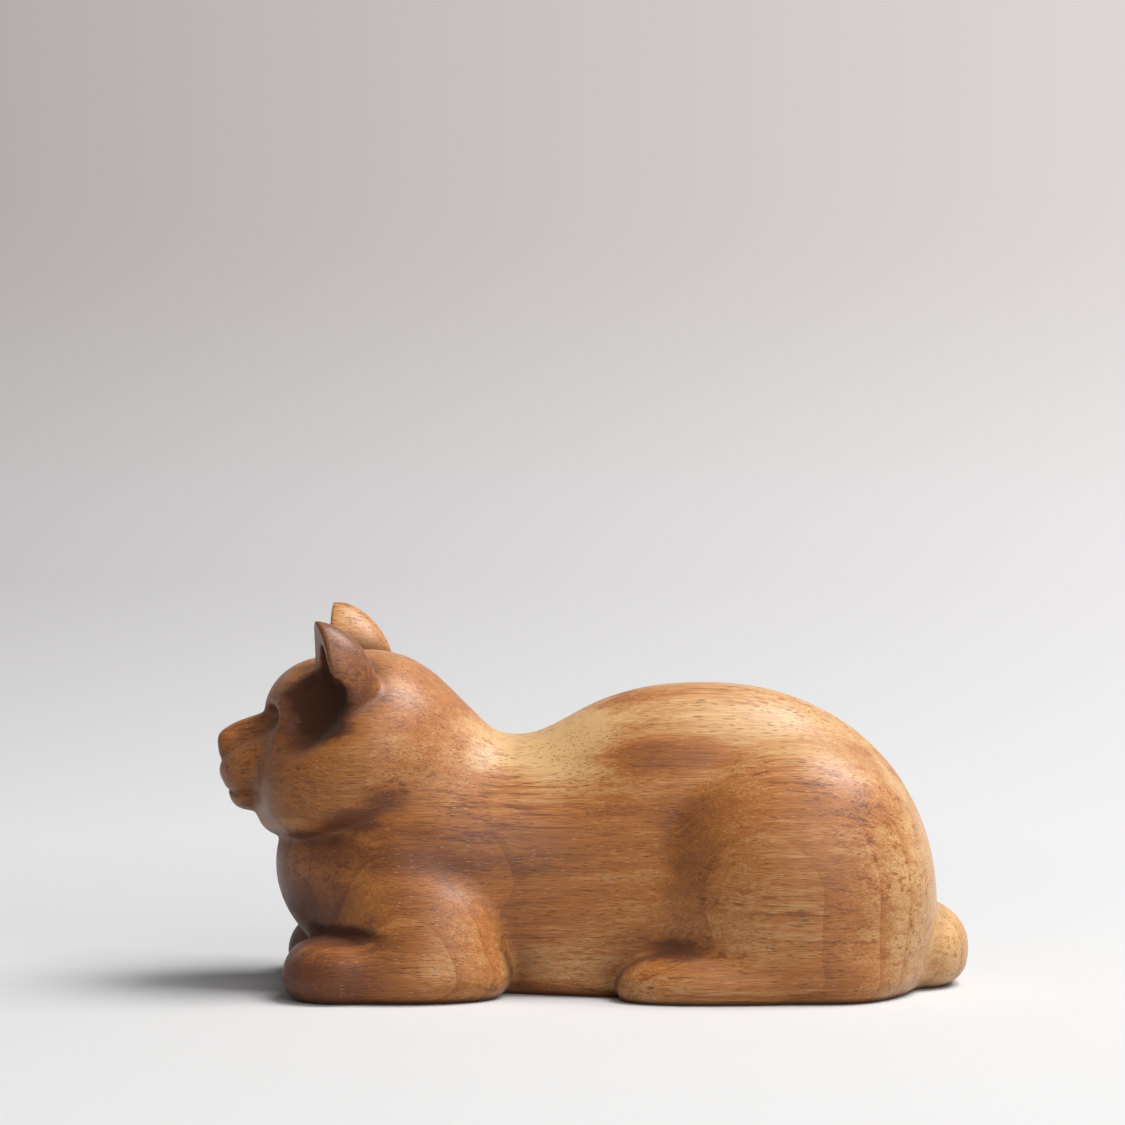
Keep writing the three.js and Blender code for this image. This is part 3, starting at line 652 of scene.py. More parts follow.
class Nodes:
    """Adds nodes to one node tree and links them."""

    def __init__(self, tree: Tree) -> None:
        """Takes the tree."""
        self.tree = tree

    def feed(self, socket: Socket, value: object) -> None:
        """Links a socket into an input, or sets the input's own value.

        Args:
            socket: the input.
            value: a socket to link, or a value to set.
        """
        if isinstance(value, bpy.types.NodeSocket):
            self.tree.links.new(value, socket)
        else:
            socket.default_value = value

    def add(self, kind: str, inputs: dict[str | int, object] | None = None, **settings: object) -> Node:
        """Adds a node and sets it up.

        Args:
            kind: type name of the node.
            inputs: what its inputs take, sockets or values.
            settings: attributes to set on it.

        Returns:
            The new node.
        """
        node = self.tree.nodes.new(kind)
        for name, value in settings.items():
            setattr(node, name, value)
        for name, value in (inputs or {}).items():
            self.feed(node.inputs[name], value)
        return node

    def math(self, operation: str, *values: object, clamp: bool = False) -> Socket:
        """Adds a Math node.

        Args:
            operation: the node's operation.
            values: sockets or numbers for its inputs.
            clamp: whether the result is kept from 0 to 1.

        Returns:
            The node's output.
        """
        inputs = dict(enumerate(values))
        return self.add("ShaderNodeMath", inputs, operation=operation, use_clamp=clamp).outputs[0]

    def total(self, *values: object) -> Socket:
        """Adds up two or more sockets or numbers, one after the other."""
        return reduce(lambda a, b: self.math("ADD", a, b), values)

    def centred(self, value: Socket, amount: float) -> Socket:
        """Scales a number from 0 to 1 by an amount and centres it on zero."""
        return self.math("MULTIPLY_ADD", value, amount, -amount / 2)

    def vector(self, operation: str, a: object, b: object) -> Socket:
        """Adds a Vector Math node that gives a vector.

        Args:
            operation: the node's operation.
            a: first vector, a socket or three numbers.
            b: second vector, or the number that scales the first.

        Returns:
            The node's output.
        """
        second = "Scale" if operation == "SCALE" else 1
        return self.add("ShaderNodeVectorMath", {0: a, second: b}, operation=operation).outputs["Vector"]

    def length(self, vector: Socket) -> Socket:
        """Gives the length of a vector."""
        return self.add("ShaderNodeVectorMath", {0: vector}, operation="LENGTH").outputs["Value"]

    def ramp(self, value: object, low: float, high: float, smooth: bool = True) -> Socket:
        """Maps a number to 0 at one end of a range and to 1 at the other.

        Args:
            value: socket that is mapped.
            low: number that becomes 0.
            high: number that becomes 1.
            smooth: whether the ends are eased.

        Returns:
            The node's output.
        """
        inputs = {"Value": value, "From Min": low, "From Max": high}
        kind = "SMOOTHSTEP" if smooth else "LINEAR"
        return self.add("ShaderNodeMapRange", inputs, interpolation_type=kind, clamp=True).outputs["Result"]

    def mix(self, share: object, a: object, b: object) -> Socket:
        """Mixes two colours.

        Args:
            share: how much of the second colour.
            a: first colour, a socket or four numbers.
            b: second colour, a socket or four numbers.

        Returns:
            The mixed colour.
        """
        inputs = {"Factor": share, "A": a, "B": b}
        return self.add("ShaderNodeMix", inputs, data_type="RGBA").outputs["Result"]

    def axes(self, place: Socket) -> Sockets:
        """Splits a place into X, Y and Z."""
        return self.add("ShaderNodeSeparateXYZ", {0: place}).outputs

    def group(self, tree: Tree, inputs: dict[str, object]) -> Sockets:
        """Places a node group, feeds it and gives its outputs."""
        return self.add("ShaderNodeGroup", inputs, node_tree=tree).outputs

    def looked_at(self) -> Socket:
        """Tells looking from lighting, for a pale ground that isn't a lamp.

        Returns:
            1 where the surface is looked at, also in a gloss or through glass, and 0 where it only lights.
        """
        rays = self.add("ShaderNodeLightPath").outputs
        mirrored = self.math("MAXIMUM", rays["Is Glossy Ray"], rays["Is Transmission Ray"])
        return self.math("MAXIMUM", rays["Is Camera Ray"], mirrored)

    @classmethod
    def of(cls, block: bpy.types.Material | bpy.types.World) -> "Nodes":
        """Empties the nodes of a material or a world.

        Args:
            block: the material or the world.

        Returns:
            Its nodes, ready to be added to.
        """
        block.use_nodes = True
        block.node_tree.nodes.clear()
        return cls(block.node_tree)


def new_group(
    name: str, inputs: dict[str, tuple[str, object]], outputs: dict[str, str]
) -> tuple[Tree, Nodes, Sockets]:
    """Makes an empty shader node group.

    Args:
        name: name of the group.
        inputs: socket type and default value of each input.
        outputs: socket type of each output.

    Returns:
        The group, its nodes and the sockets of its inputs.
    """
    group = bpy.data.node_groups.new(name, "ShaderNodeTree")
    for label, (kind, value) in inputs.items():
        socket = group.interface.new_socket(name=label, in_out="INPUT", socket_type=kind)
        if value is not None:
            socket.default_value = value
    for label, kind in outputs.items():
        group.interface.new_socket(name=label, in_out="OUTPUT", socket_type=kind)
    return group, Nodes(group), group.nodes.new("NodeGroupInput").outputs


class Lookup(Enum):
    """Which texture a figure in the wood reads."""

    CLOUD = "ShaderNodeTexNoise"
    CELLS = "ShaderNodeTexVoronoi"


@dataclass(frozen=True)
class Figure:
    """A solid texture whose features have a given size along each axis, in millimetres."""

    sizes: Place
    shift: Place = (0.0, 0.0, 0.0)
    detail: float = 2.0
    roughness: float = 0.5
    lookup: Lookup = Lookup.CLOUD

    def node(self, n: Nodes, place: Socket) -> Node:
        """Places the texture.

        Args:
            n: nodes that it joins.
            place: places in millimetres.

        Returns:
            The texture node.
        """
        scale = tuple(1 / size for size in self.sizes)
        mapping = n.add("ShaderNodeMapping", {"Vector": place, "Scale": scale, "Location": self.shift})
        inputs = {"Vector": mapping.outputs["Vector"], "Scale": 1.0}
        if self.lookup is Lookup.CLOUD:
            inputs |= {"Detail": self.detail, "Roughness": self.roughness}
        return n.add(self.lookup.value, inputs)

    def read(self, n: Nodes, place: Socket) -> Socket:
        """Gives the value of the cloud texture."""
        return self.node(n, place).outputs["Fac"]


@dataclass(frozen=True)
class Dashes:
    """Thin dashes along the grain, one in each kept cell."""

    sizes: Place
    shift: Place
    width: float
    kept: float
    core: float = 0.4
    chance: Span = (1.02, 1.3)

    def mask(self, n: Nodes, place: Socket) -> Socket:
        """Masks the dashes.

        Args:
            n: nodes that they join.
            place: places in millimetres.

        Returns:
            1 on a dash and 0 beside it.
        """
        cells = Figure(self.sizes, self.shift, lookup=Lookup.CELLS).node(n, place)
        hit = n.ramp(cells.outputs["Distance"], self.width, self.width * self.core)
        drawn = n.add("ShaderNodeSeparateColor", {0: cells.outputs["Color"]}).outputs[0]
        kept = n.ramp(drawn, *(end - self.kept for end in self.chance), False)
        return n.math("MULTIPLY", hit, kept)


@dataclass(frozen=True)
class Zone:
    """A soft-edged region of the block, in millimetres, paler where its strength is above zero; some are the
    wood's own tone and some, marked in the list, paint light and shade.
    """

    at: Place
    half: Place
    strength: float


@dataclass(frozen=True)
class OiledHardwood:
    """Brown hardwood with open pores, sanded smooth and oiled to a soft satin sheen, with painted shade in
    its hollows and painted light and shade in some zones.
    """

    name: str = "oiled_hardwood"
    pale: Colour = (0.700, 0.425, 0.185, 1.0)
    middle: Colour = (0.438, 0.152, 0.028, 1.0)
    dark: Colour = (0.176, 0.048, 0.008, 1.0)
    # near black of the open pores, which is also the colour of the painted shade
    pore_and_shade: Colour = (0.070, 0.022, 0.007, 1.0)
    fleck: Colour = (0.78, 0.64, 0.50, 1.0)
    tone_reach: float = 0.42

    # growth layers, which show low on the carving, where its surface lies along them
    wander: Figure = Figure((60.0, 28.0, 28.0))
    layer_gap: float = 4.4
    layer_shift: float = -0.04
    layer_drift: float = 2.4
    layer_tilt: float = 0.14
    layer_heights: Span = (44.0, 24.0)
    layer_tint: float = 0.16
    late_wood: float = -0.14
    late_sharpness: float = 4.0

    # fibres and dark streaks that run along the block
    broad: Figure = Figure((70.0, 8.0, 8.0), (3.0, 1.0, 7.0), 3.0, 0.6)
    broad_amount: float = 0.50
    fine: Figure = Figure((24.0, 1.3, 1.3), (9.0, 4.0, 2.0), 4.0, 0.7)
    fine_amount: float = 0.60
    thread: Figure = Figure((5.0, 0.26, 0.26), (5.0, 8.0, 1.0), 2.0, 0.6)
    thread_amount: float = 0.60
    streak: Figure = Figure((34.0, 0.9, 0.9), (2.0, 6.0, 5.0), 3.0, 0.6)
    streak_range: Span = (0.52, 0.66)
    streak_patch: Figure = Figure((40.0, 9.0, 9.0), (8.0, 3.0, 3.0), 1.0)
    streak_patch_range: Span = (0.42, 0.60)
    streak_amount: float = -0.34

    # open pores, and pale dust in some of them
    pore_sway: Figure = Figure((9.0, 5.0, 5.0), (2.0, 2.0, 2.0), 1.0)
    sway_amount: float = 0.8
    long_pores: Dashes = Dashes((6.0, 0.42, 0.42), (0.0, 0.0, 0.0), 0.26, 0.8)
    short_pores: Dashes = Dashes((3.2, 0.28, 0.28), (4.0, 9.0, 5.0), 0.30, 0.8)
    pore_patch: Figure = Figure((20.0, 6.0, 6.0), (1.0, 3.0, 8.0))
    pore_patch_range: Span = (0.15, 0.55)
    pore_share: float = 0.6
    pore_roughness: float = 0.25
    flecks: Dashes = Dashes((2.6, 0.34, 0.34), (7.0, 7.0, 3.0), 0.22, 0.55)
    fleck_share: float = 0.42

    # oil and polish
    roughness: Span = (0.40, 0.54)
    specular: float = 0.34
    sheen: float = 0.07
    sheen_roughness: float = 0.45
    coat: float = 0.42
    coat_roughness: float = 0.34
    # painted shade in creases, hollows and along the table: where it shows, how dark and how rough
    hollow_range: Span = (0.05, 0.75)
    painted_hollow_shade: float = 0.85
    hollow_roughness: float = 0.4
    # the darkest zones darken further: painted shade in the temple, under the jaw and in folds and notches,
    # and the darker paws
    deep_zone_range: Span = (-0.40, -0.85)
    deep_zone_darkening: float = 0.92
    thread_relief: float = 0.8
    pore_depth: float = 0.10

    # paler and darker regions: place, half size and strength; some are the wood's own tone and some paint
    # light and shade, as marked
    zone_edge: Figure = Figure((24.0, 5.0, 5.0), (6.0, 2.0, 9.0), 3.0, 0.6)
    zone_ragged: float = 0.9
    zone_range: Span = (1.2, 0.35)
    zones: tuple[Zone, ...] = (
        # paler saddle, top of the rump and the rump's right end: partly pale wood, partly painted highlight
        # on the lit side
        Zone((-9, 0, 49), (19, 34, 12), 0.58),
        Zone((38, 0, 60), (36, 34, 24), 0.30),
        Zone((68, -6, 14), (20, 34, 44), 0.38),
        # paler far ear: painted light where the lamp falls on it
        Zone((-48, 12, 67), (12, 9, 14), 0.14),
        Zone((-66, 0, 40), (24, 40, 46), -0.14),
        Zone((-52, 0, 0), (28, 60, 26), -0.52),
        Zone((-49, -17, 66), (11, 10, 16), -0.40),
        # painted shadow of the near ear on the temple, with painted shade in its hollow
        Zone((-53.2, -14, 56), (8.2, 12, 8.6), -1.05),
        # painted shade under the jaw
        Zone((-40, -18, 38.5), (6, 9, 3.2), -0.42),
        Zone((-46, -17, 34.5), (6, 9, 2.8), -0.42),
        Zone((-53, -15, 30.4), (8, 9, 2), -0.40),
        Zone((-60, -17, 33), (7, 8, 1.8), 0.40),
        Zone((-32, -24, 23), (13, 10, 8), -0.20),
        Zone((-26, -20, 29), (34, 12, 7), -0.28),
        Zone((13, -16, 47), (17, 10, 4.5), -0.30),
        # painted shade in the hind foot's notch, in the fold over the near paw and on the haunch's front,
        # turned away from the lamps
        Zone((15, -26, 10.5), (7, 8, 2.2), -0.70),
        Zone((-49, -24, 13.3), (9, 8, 1.8), -0.60),
        Zone((18, -24, 34), (8, 10, 13), -0.24),
        # lighter low on the near side, over the belly, the hind foot and the lower haunch
        Zone((-6, -20, 8), (14, 10, 8), 0.10),
        Zone((12, -26, 1), (16, 10, 7), 0.16),
        Zone((34, -28, 18), (16, 10, 16), 0.10),
    )

    def zone_group(self) -> Tree:
        """Builds the group that adds up the pale and dark regions, both the wood's own tone and the painted
        light and shade.

        Returns:
            The node group.
        """
        group, n, come = new_group(
            "tone_and_painted_light_zones", {"Place": ("NodeSocketVector", None)}, {"Paler": "NodeSocketFloat"}
        )
        place = come["Place"]
        ragged = n.centred(self.zone_edge.read(n, place), self.zone_ragged)
        parts = []
        for zone in self.zones:
            off = n.vector("DIVIDE", n.vector("SUBTRACT", place, zone.at), zone.half)
            reach = n.math("ADD", n.length(off), ragged)
            parts.append(n.math("MULTIPLY", n.ramp(reach, *self.zone_range), zone.strength))
        n.add("NodeGroupOutput", {"Paler": n.total(*parts)})
        return group

    def grain_group(self) -> Tree:
        """Builds the group that gives the colour of the fibres, the streaks and the growth layers.

        Returns:
            The node group.
        """
        group, n, come = new_group(
            "wood_grain",
            {
                "Place": ("NodeSocketVector", None),
                "Paler": ("NodeSocketFloat", 0.0),
                "Pale": ("NodeSocketColor", self.pale),
                "Middle": ("NodeSocketColor", self.middle),
                "Dark": ("NodeSocketColor", self.dark),
            },
            {"Colour": "NodeSocketColor", "Thread": "NodeSocketFloat"},
        )
        place = come["Place"]
        axes = n.axes(place)
        drift = n.centred(self.wander.read(n, place), self.layer_drift)
        depth = n.math("MULTIPLY_ADD", axes["X"], self.layer_tilt, axes["Y"])
        turn = n.math("DIVIDE", n.total(depth, drift), self.layer_gap)
        turn = n.math("ADD", turn, self.layer_shift)
        early = n.math("SUBTRACT", 1.0, n.math("FRACT", turn))
        late = n.math("POWER", early, self.late_sharpness)
        tint = n.add("ShaderNodeTexWhiteNoise", noise_dimensions="1D")
        n.feed(tint.inputs["W"], n.math("FLOOR", turn))
        layers = n.centred(tint.outputs["Value"], self.layer_tint)
        layers = n.math("ADD", layers, n.math("MULTIPLY", late, self.late_wood))
        shown = n.ramp(axes["Z"], *self.layer_heights)

        thread = self.thread.read(n, place)
        streak = n.ramp(self.streak.read(n, place), *self.streak_range)
        where = n.ramp(self.streak_patch.read(n, place), *self.streak_patch_range)
        tone = n.total(
            n.centred(self.broad.read(n, place), self.broad_amount),
            n.centred(self.fine.read(n, place), self.fine_amount),
            n.centred(thread, self.thread_amount),
            n.math("MULTIPLY", layers, shown),
            n.math("MULTIPLY", n.math("MULTIPLY", streak, where), self.streak_amount),
            # the zones, with their painted light and shade
            come["Paler"],
        )
        darker = n.ramp(tone, -self.tone_reach, 0.0, False)
        paler = n.ramp(tone, 0.0, self.tone_reach, False)
        colour = n.mix(darker, come["Dark"], come["Middle"])
        colour = n.mix(paler, colour, come["Pale"])
        n.add("NodeGroupOutput", {"Colour": colour, "Thread": thread})
        return group

    def pore_group(self) -> Tree:
        """Builds the group that masks the open pores and the pale flecks in some of them.

        Returns:
            The node group.
        """
        group, n, come = new_group(
            "wood_pores",
            {"Place": ("NodeSocketVector", None)},
            {"Pores": "NodeSocketFloat", "Flecks": "NodeSocketFloat"},
        )
        place = come["Place"]
        sway = self.pore_sway.node(n, place).outputs["Color"]
        swayed = n.vector("ADD", place, n.vector("SCALE", sway, self.sway_amount))
        long, short = self.long_pores.mask(n, swayed), self.short_pores.mask(n, swayed)
        patch = n.ramp(self.pore_patch.read(n, place), *self.pore_patch_range, False)
        pores = n.math("MULTIPLY", n.math("MAXIMUM", long, short), patch)
        n.add("NodeGroupOutput", {"Pores": pores, "Flecks": self.flecks.mask(n, swayed)})
        return group

    def material(self) -> bpy.types.Material:
        """Builds the material.

        Returns:
            The wood material.
        """
        made = bpy.data.materials.new(self.name)
        n = Nodes.of(made)
        coordinates = n.add("ShaderNodeTexCoord").outputs["Object"]
        place = n.vector("SCALE", coordinates, 1 / MM)
        paler = n.group(self.zone_group(), {"Place": place})["Paler"]
        grain = n.group(self.grain_group(), {"Place": place, "Paler": paler})
        pores = n.group(self.pore_group(), {"Place": place})

        # painted shade: darker, rougher and less glossy in creases, in hollows and along the table, where
        # shade falls, and in the darkest zones, which paint shade in the temple, under the jaw and in folds
        # and notches, and darken the paws
        hollow = n.add("ShaderNodeAttribute", attribute_name="hollow").outputs["Fac"]
        shade = n.math("MULTIPLY", n.ramp(hollow, *self.hollow_range), self.painted_hollow_shade)
        # painted shade from the darkest zones, and the darker paws
        deep_zone_shade = n.math("MULTIPLY", n.ramp(paler, *self.deep_zone_range, False), self.deep_zone_darkening)
        shade = n.math("MAXIMUM", shade, deep_zone_shade)

        colour = n.mix(n.math("MULTIPLY", pores["Pores"], self.pore_share), grain["Colour"], self.pore_and_shade)
        colour = n.mix(n.math("MULTIPLY", pores["Flecks"], self.fleck_share), colour, self.fleck)
        low, high = self.roughness
        rough = n.math("MULTIPLY_ADD", grain["Thread"], high - low, low)
        rough = n.math("MULTIPLY_ADD", pores["Pores"], self.pore_roughness, rough)
        relief = n.math("MULTIPLY", grain["Thread"], self.thread_relief)
        relief = n.math("SUBTRACT", relief, pores["Pores"])
        bump = n.add("ShaderNodeBump", {"Height": relief, "Strength": 1.0, "Distance": self.pore_depth * MM})
        wood = n.add(
            "ShaderNodeBsdfPrincipled",
            {
                "Base Color": n.mix(shade, colour, self.pore_and_shade),
                "Roughness": n.math("MULTIPLY_ADD", shade, self.hollow_roughness, rough, clamp=True),
                "Coat Weight": n.math("MULTIPLY", n.math("SUBTRACT", 1.0, shade), self.coat),
                "Coat Roughness": self.coat_roughness,
                "Specular IOR Level": self.specular,
                "Sheen Weight": self.sheen,
                "Sheen Roughness": self.sheen_roughness,
                "Normal": bump.outputs["Normal"],
            },
        )
        n.add("ShaderNodeOutputMaterial", {"Surface": wood.outputs["BSDF"]})
        return made


@dataclass
class CarvedCat:
    """The whole carving: one solid with a flat base."""

    name: str = "carved_cat_wood"
    trunk: Trunk = field(default_factory=Trunk)
    hind_legs: HindLegs = field(default_factory=HindLegs)
    forelegs: Forelegs = field(default_factory=Forelegs)
    tail: Tail = field(default_factory=Tail)
    head: Head = field(default_factory=Head)
    neck_blend: Span = (1.6, 9.6)
    neck_start: float = -47.0
    neck_length: float = 20.0
    skirt_height: float = 12.0
    skirt_drop: float = 3.0
    skirt_most: float = 1.5
    edge_height: float = 4.5
    edge_break: float = 1.9
    gaps: Span = (0.5, 0.85)
    quick_gaps: Span = (1.0, 1.6)
    grid_margin: float = 2.0
    grid_depth: float = 2.5
    head_end: Span = (-24.0, -10.0)
    head_side: Span = (12.0, 18.0)
    head_bottom: Span = (26.0, 34.0)
    hollow_nudge: float = 0.3
    hollow_reach: Span = (4.0, 11.0)
    wide_share: float = 0.9
    table_reach: float = 1.4

    def distance(self, spot: Spot) -> Numbers:
        """Works out distances to the carving.

        Args:
            spot: places along the cat, across it and up.

        Returns:
            Distances, below zero inside the carving.
        """
        x, y, z = spot
        low = (x, y, z + self.skirt_drop * np.clip(1 - z / self.skirt_height, 0, self.skirt_most) ** 2)
        body = self.forelegs.join(self.hind_legs.join(self.trunk.distance(low), low), low)
        body = blend(body, self.tail.distance(low), self.tail.softness)
        tight, loose = self.neck_blend
        softness = tight + (loose - tight) * rise(x, self.neck_start, self.neck_length)
        cat = blend(body, self.head.distance(spot), softness)
        cat = cat + self.edge_break * np.clip(1 - z / self.edge_height, 0, 1) ** 2
        return np.maximum(cat, -z)

    def build(self) -> bpy.types.Object:
        """Draws the carving's surface, finer at the head, and makes its mesh.

        Returns:
            The carving, in metres.
        """
        low, high = np.array(CAD_BOX) / MM
        end = high + self.grid_margin
        fine, wide = self.gaps
        even = (fine + wide) / 2
        xs = graded_lines(low[0] - self.grid_margin, end[0], self.head_end, (fine, wide))
        half = graded_lines(fine / 2, end[1], self.head_side, (fine, even))
        ys = np.concatenate([-half[::-1], half])
        zs = graded_lines(-self.grid_depth * fine, end[2], self.head_bottom, (even, fine))
        places, faces = SurfaceNet(xs, ys, zs).draw(self.distance)
        hollow = self.hollow(places)
        places = np.clip(places, low, high)
        mesh = bpy.data.meshes.new(self.name)
        mesh.vertices.add(len(places))
        mesh.vertices.foreach_set("co", (places * MM).astype(np.float32).ravel())
        mesh.loops.add(faces.size)
        mesh.loops.foreach_set("vertex_index", faces.ravel().astype(np.int32))
        mesh.polygons.add(len(faces))
        mesh.polygons.foreach_set("loop_start", np.arange(0, faces.size, 4, dtype=np.int32))
        mesh.update()
        mesh.validate()
        mesh.polygons.foreach_set("use_smooth", np.ones(len(mesh.polygons), bool))
        # depth of the painted shade in creases and along the table, read by the material
        attribute = mesh.attributes.new("hollow", "FLOAT", "POINT")
        attribute.data.foreach_set("value", hollow.astype(np.float32))
        made = bpy.data.objects.new(self.name, mesh)
        bpy.context.scene.collection.objects.link(made)
        log.info("%s: %d corners, %d faces", self.name, len(places), len(faces))
        return made

    def hollow(self, places: Numbers) -> Numbers:
        """Says how deep in a hollow each place lies, from how near other wood is in front of it, and how near
        it lies to the table; the material paints shade from this.

        Args:
            places: places on the surface.

        Returns:
            0 on open surface, up to 1 in a crease and at the table.
        """
        slope = slopes(self.distance, places, self.hollow_nudge)
        slope /= np.maximum(np.linalg.norm(slope, axis=1), TINY)[:, None]
        near, far = self.hollow_reach
        deep = 1 - self.distance((places + slope * near).T) / near
        wide = 1 - self.distance((places + slope * far).T) / far
        # painted contact shade: full at the table and gone table_reach above it
        table = 1 - places[:, 2] / self.table_reach
        return np.clip(np.maximum.reduce([deep, wide * self.wide_share, table]), 0, 1)

    def dress(self, carving: bpy.types.Object, wood: OiledHardwood) -> None:
        """Gives the carving its finish and its place on the frame.

        Args:
            carving: the carving's object.
            wood: its finish.
        """
        carving.data.materials.append(wood.material())
        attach(carving, "root")
        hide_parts("carved_cat")


@dataclass(frozen=True)
class Room:
    """Plain room around the sheet; each pair of colours is for its left and its right, darker to the left and
    upward as a painted falloff of the lamps' light.
    """

    near: tuple[Colour, Colour] = ((0.82, 0.81, 0.82, 1.0), (0.94, 0.94, 0.94, 1.0))
    low: tuple[Colour, Colour] = ((0.52, 0.51, 0.515, 1.0), (0.86, 0.845, 0.85, 1.0))
    high: tuple[Colour, Colour] = ((0.41, 0.38, 0.37, 1.0), (0.74, 0.70, 0.69, 1.0))
    across: Span = (-0.28, 0.24)
    upward: Span = (-0.01, 0.15)
    downward: Span = (0.0, -0.125)
    light: Colour = (0.93, 0.96, 1.0, 1.0)
    strength: float = 0.13

    def colour_group(self) -> Tree:
        """Builds the group that gives the room's colour in a direction.

        Returns:
            The node group.
        """
        group, n, come = new_group(
            "room_colour", {"Direction": ("NodeSocketVector", None)}, {"Colour": "NodeSocketColor"}
        )
        axes = n.axes(come["Direction"])
        side = n.ramp(axes["X"], *self.across, False)
        near, low, high = (n.mix(side, *pair) for pair in (self.near, self.low, self.high))
        wall = n.mix(n.ramp(axes["Z"], *self.upward), low, high)
        down = n.ramp(axes["Z"], *self.downward, False)
        n.add("NodeGroupOutput", {"Colour": n.mix(down, wall, near)})
        return group

    def build(self, colours: Tree) -> None:
        """Gives the room an even light, and its own colours where it is looked at.

        Args:
            colours: group that gives the room's colour.
        """
        world = bpy.data.worlds.new("room")
        bpy.context.scene.world = world
        n = Nodes.of(world)
        way = n.add("ShaderNodeTexCoord").outputs["Generated"]
        light = n.add("ShaderNodeBackground", {"Color": self.light, "Strength": self.strength})
        shown = n.add("ShaderNodeBackground", {"Color": n.group(colours, {"Direction": way})["Colour"]})
        mix = n.add("ShaderNodeMixShader", {0: n.looked_at(), 1: light.outputs[0], 2: shown.outputs[0]})
        n.add("ShaderNodeOutputWorld", {"Surface": mix.outputs[0]})


@dataclass(frozen=True)
class PaleSheet:
    """Plain pale paper that the carving lies on; far away it takes the colour of the room."""

    name: str = "pale_sheet"
    colour: Colour = (0.70, 0.704, 0.715, 1.0)
    bounce: Colour = (0.34, 0.328, 0.315, 1.0)
    roughness: float = 0.9
    lit_radius: float = 0.10
    blank_radius: float = 0.36
    stand_back: float = 0.52
    eye_height: float = 0.081
    radii: tuple[float, ...] = (0.15, 0.5, 2.0, 10.0, 60.0)
    steps: int = 48

    def material(self, room: Tree) -> bpy.types.Material:
        """Builds the paper, lit near the carving and fading into the room's colour far away.

        Args:
            room: group that gives the room's colour.

        Returns:
            The paper material.
        """
        paper = bpy.data.materials.new(self.name)
        n = Nodes.of(paper)
        seen = n.looked_at()
        colour = n.mix(seen, self.bounce, self.colour)
        inputs = {"Base Color": colour, "Roughness": self.roughness, "Specular IOR Level": 0.0}
        lit = n.add("ShaderNodeBsdfPrincipled", inputs)

        # far out the sheet glows: the direction from a fixed place in front of the carving picks the room's
        # colour, with its painted falloff
        place = n.add("ShaderNodeTexCoord").outputs["Object"]
        radius = n.length(place)
        nearness = n.math("DIVIDE", 1.0, n.math("ADD", radius, self.stand_back))
        lowered = n.vector("SUBTRACT", place, (0.0, 0.0, self.eye_height))
        far = n.math("MULTIPLY", n.ramp(radius, self.lit_radius, self.blank_radius), seen)
        blank = n.group(room, {"Direction": n.vector("SCALE", lowered, nearness)})["Colour"]
        glow = n.add("ShaderNodeEmission", {"Color": blank})
        mix = n.add("ShaderNodeMixShader", {0: far, 1: lit.outputs["BSDF"], 2: glow.outputs["Emission"]})
        n.add("ShaderNodeOutputMaterial", {"Surface": mix.outputs["Shader"]})
        return paper

    def build(self, room: Tree) -> None:
        """Lays the sheet as a flat disc of rings.

        Args:
            room: group that gives the room's colour.
        """
        n = self.steps
        turns = [2 * math.pi * i / n for i in range(n)]
        corners = [(0.0, 0.0, 0.0)]
        corners += [(r * math.cos(t), r * math.sin(t), 0.0) for r in self.radii for t in turns]
        faces = [(0, 1 + i, 1 + (i + 1) % n) for i in range(n)]
        for inner in range(1, 1 + n * (len(self.radii) - 1), n):
            outer = inner + n
            faces += [(inner + i, outer + i, outer + (i + 1) % n, inner + (i + 1) % n) for i in range(n)]
        mesh = bpy.data.meshes.new("floor")
        mesh.from_pydata(corners, [], faces)
        mesh.materials.append(self.material(room))
        made = bpy.data.objects.new("floor", mesh)
        bpy.context.scene.collection.objects.link(made)


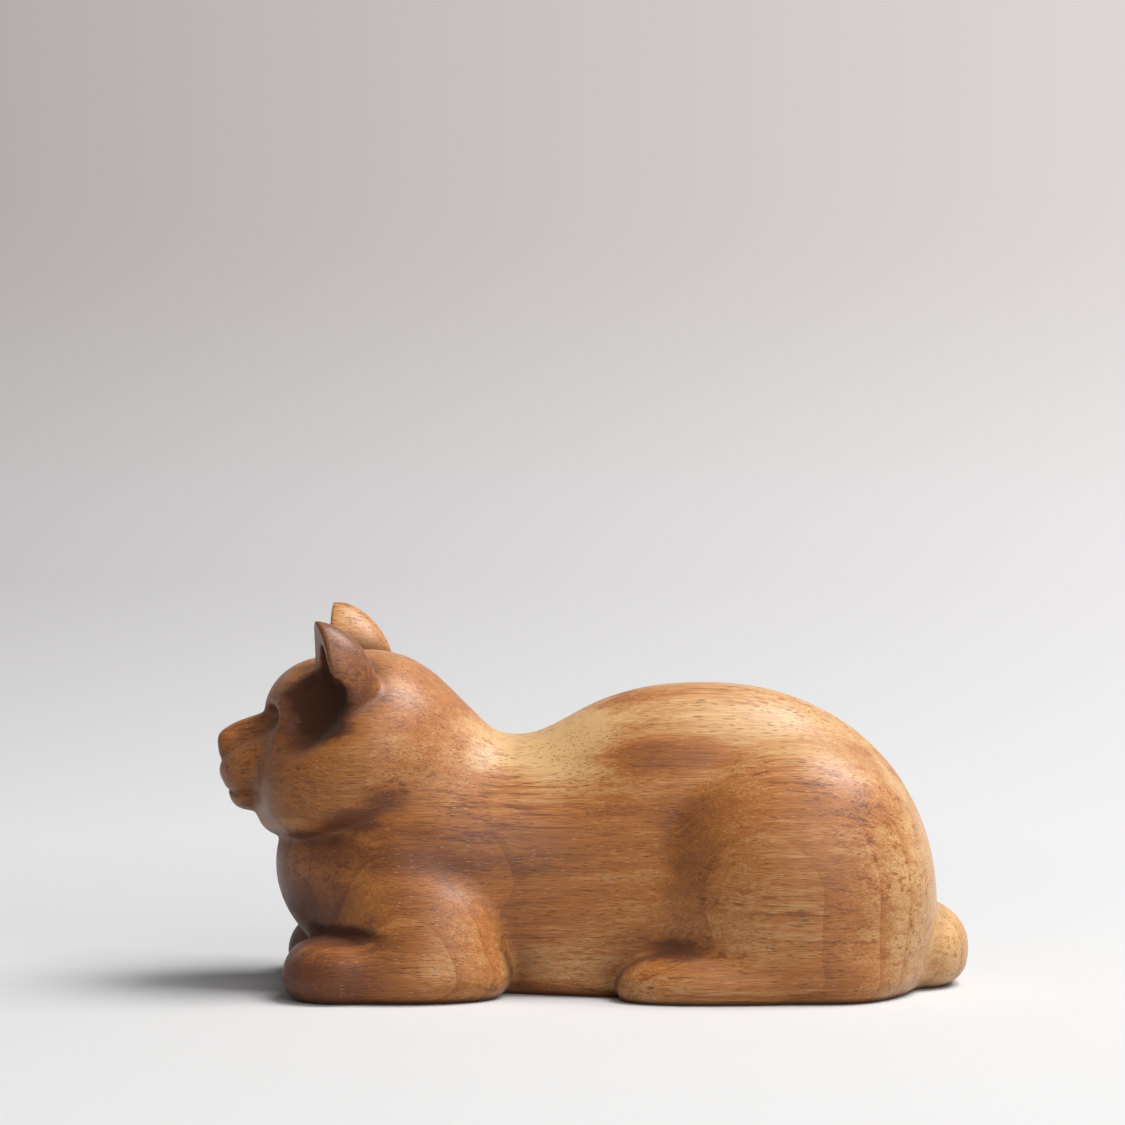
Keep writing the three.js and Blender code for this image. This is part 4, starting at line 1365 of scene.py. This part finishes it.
@dataclass(frozen=True)
class Lamp:
    """A soft square lamp that points at the carving: place and size in metres, power in watts."""

    name: str
    place: Place
    size: float
    power: float
    gloss: float = 1.0
    colour: Place = (1.0, 0.985, 0.965)
    aim_height: float = 0.03

    def build(self) -> None:
        """Hangs the lamp."""
        data = bpy.data.lights.new(self.name, "AREA")
        data.shape = "SQUARE"
        data.size = self.size
        data.energy = self.power
        data.color = self.colour
        data.specular_factor = self.gloss
        made = bpy.data.objects.new(self.name, data)
        made.location = self.place
        x, y, z = self.place
        made.rotation_euler = (0.0, math.atan2(math.hypot(x, y), z - self.aim_height), math.atan2(y, x))
        bpy.context.scene.collection.objects.link(made)


@dataclass
class Studio:
    """Room, sheet, lamps and camera."""

    room: Room = Room()
    sheet: PaleSheet = PaleSheet()
    lamps: tuple[Lamp, ...] = (
        Lamp("key", (0.64, -0.10, 1.17), 0.72, 21.0),
        Lamp("fill", (0.86, -1.58, 0.86), 1.6, 17.2, 0.1),
    )
    camera_place: Place = (-0.0058, -0.520, 0.0808)
    lens: float = 83.2
    sensor: float = 36.0
    horizon_shift: float = 0.01556
    clip: Span = (0.01, 200.0)

    def camera(self) -> None:
        """Sets up the level camera at the photograph's viewing angle."""
        data = bpy.data.cameras.new("camera")
        data.lens = self.lens
        data.sensor_width = self.sensor
        data.shift_y = self.horizon_shift
        data.clip_start, data.clip_end = self.clip
        made = bpy.data.objects.new("camera", data)
        made.location = self.camera_place
        made.rotation_euler = (math.pi / 2, 0.0, 0.0)
        bpy.context.scene.collection.objects.link(made)
        bpy.context.scene.camera = made

    def build(self) -> None:
        """Builds the camera, the sheet, the room and the lamps."""
        self.camera()
        colours = self.room.colour_group()
        self.sheet.build(colours)
        self.room.build(colours)
        for lamp in self.lamps:
            lamp.build()
        bpy.context.scene.view_settings.view_transform = "Standard"


def main() -> None:
    """Builds the studio and the carving in order and reports each piece."""
    Studio().build()
    log.info("studio: sheet, room, lamps and camera")
    cat = CarvedCat()
    carving = cat.build()
    cat.dress(carving, OiledHardwood())
    log.info("%s: dressed in %s", carving.name, carving.data.materials[0].name)
    bpy.context.view_layer.update()


if __name__ == "__main__":
    main()
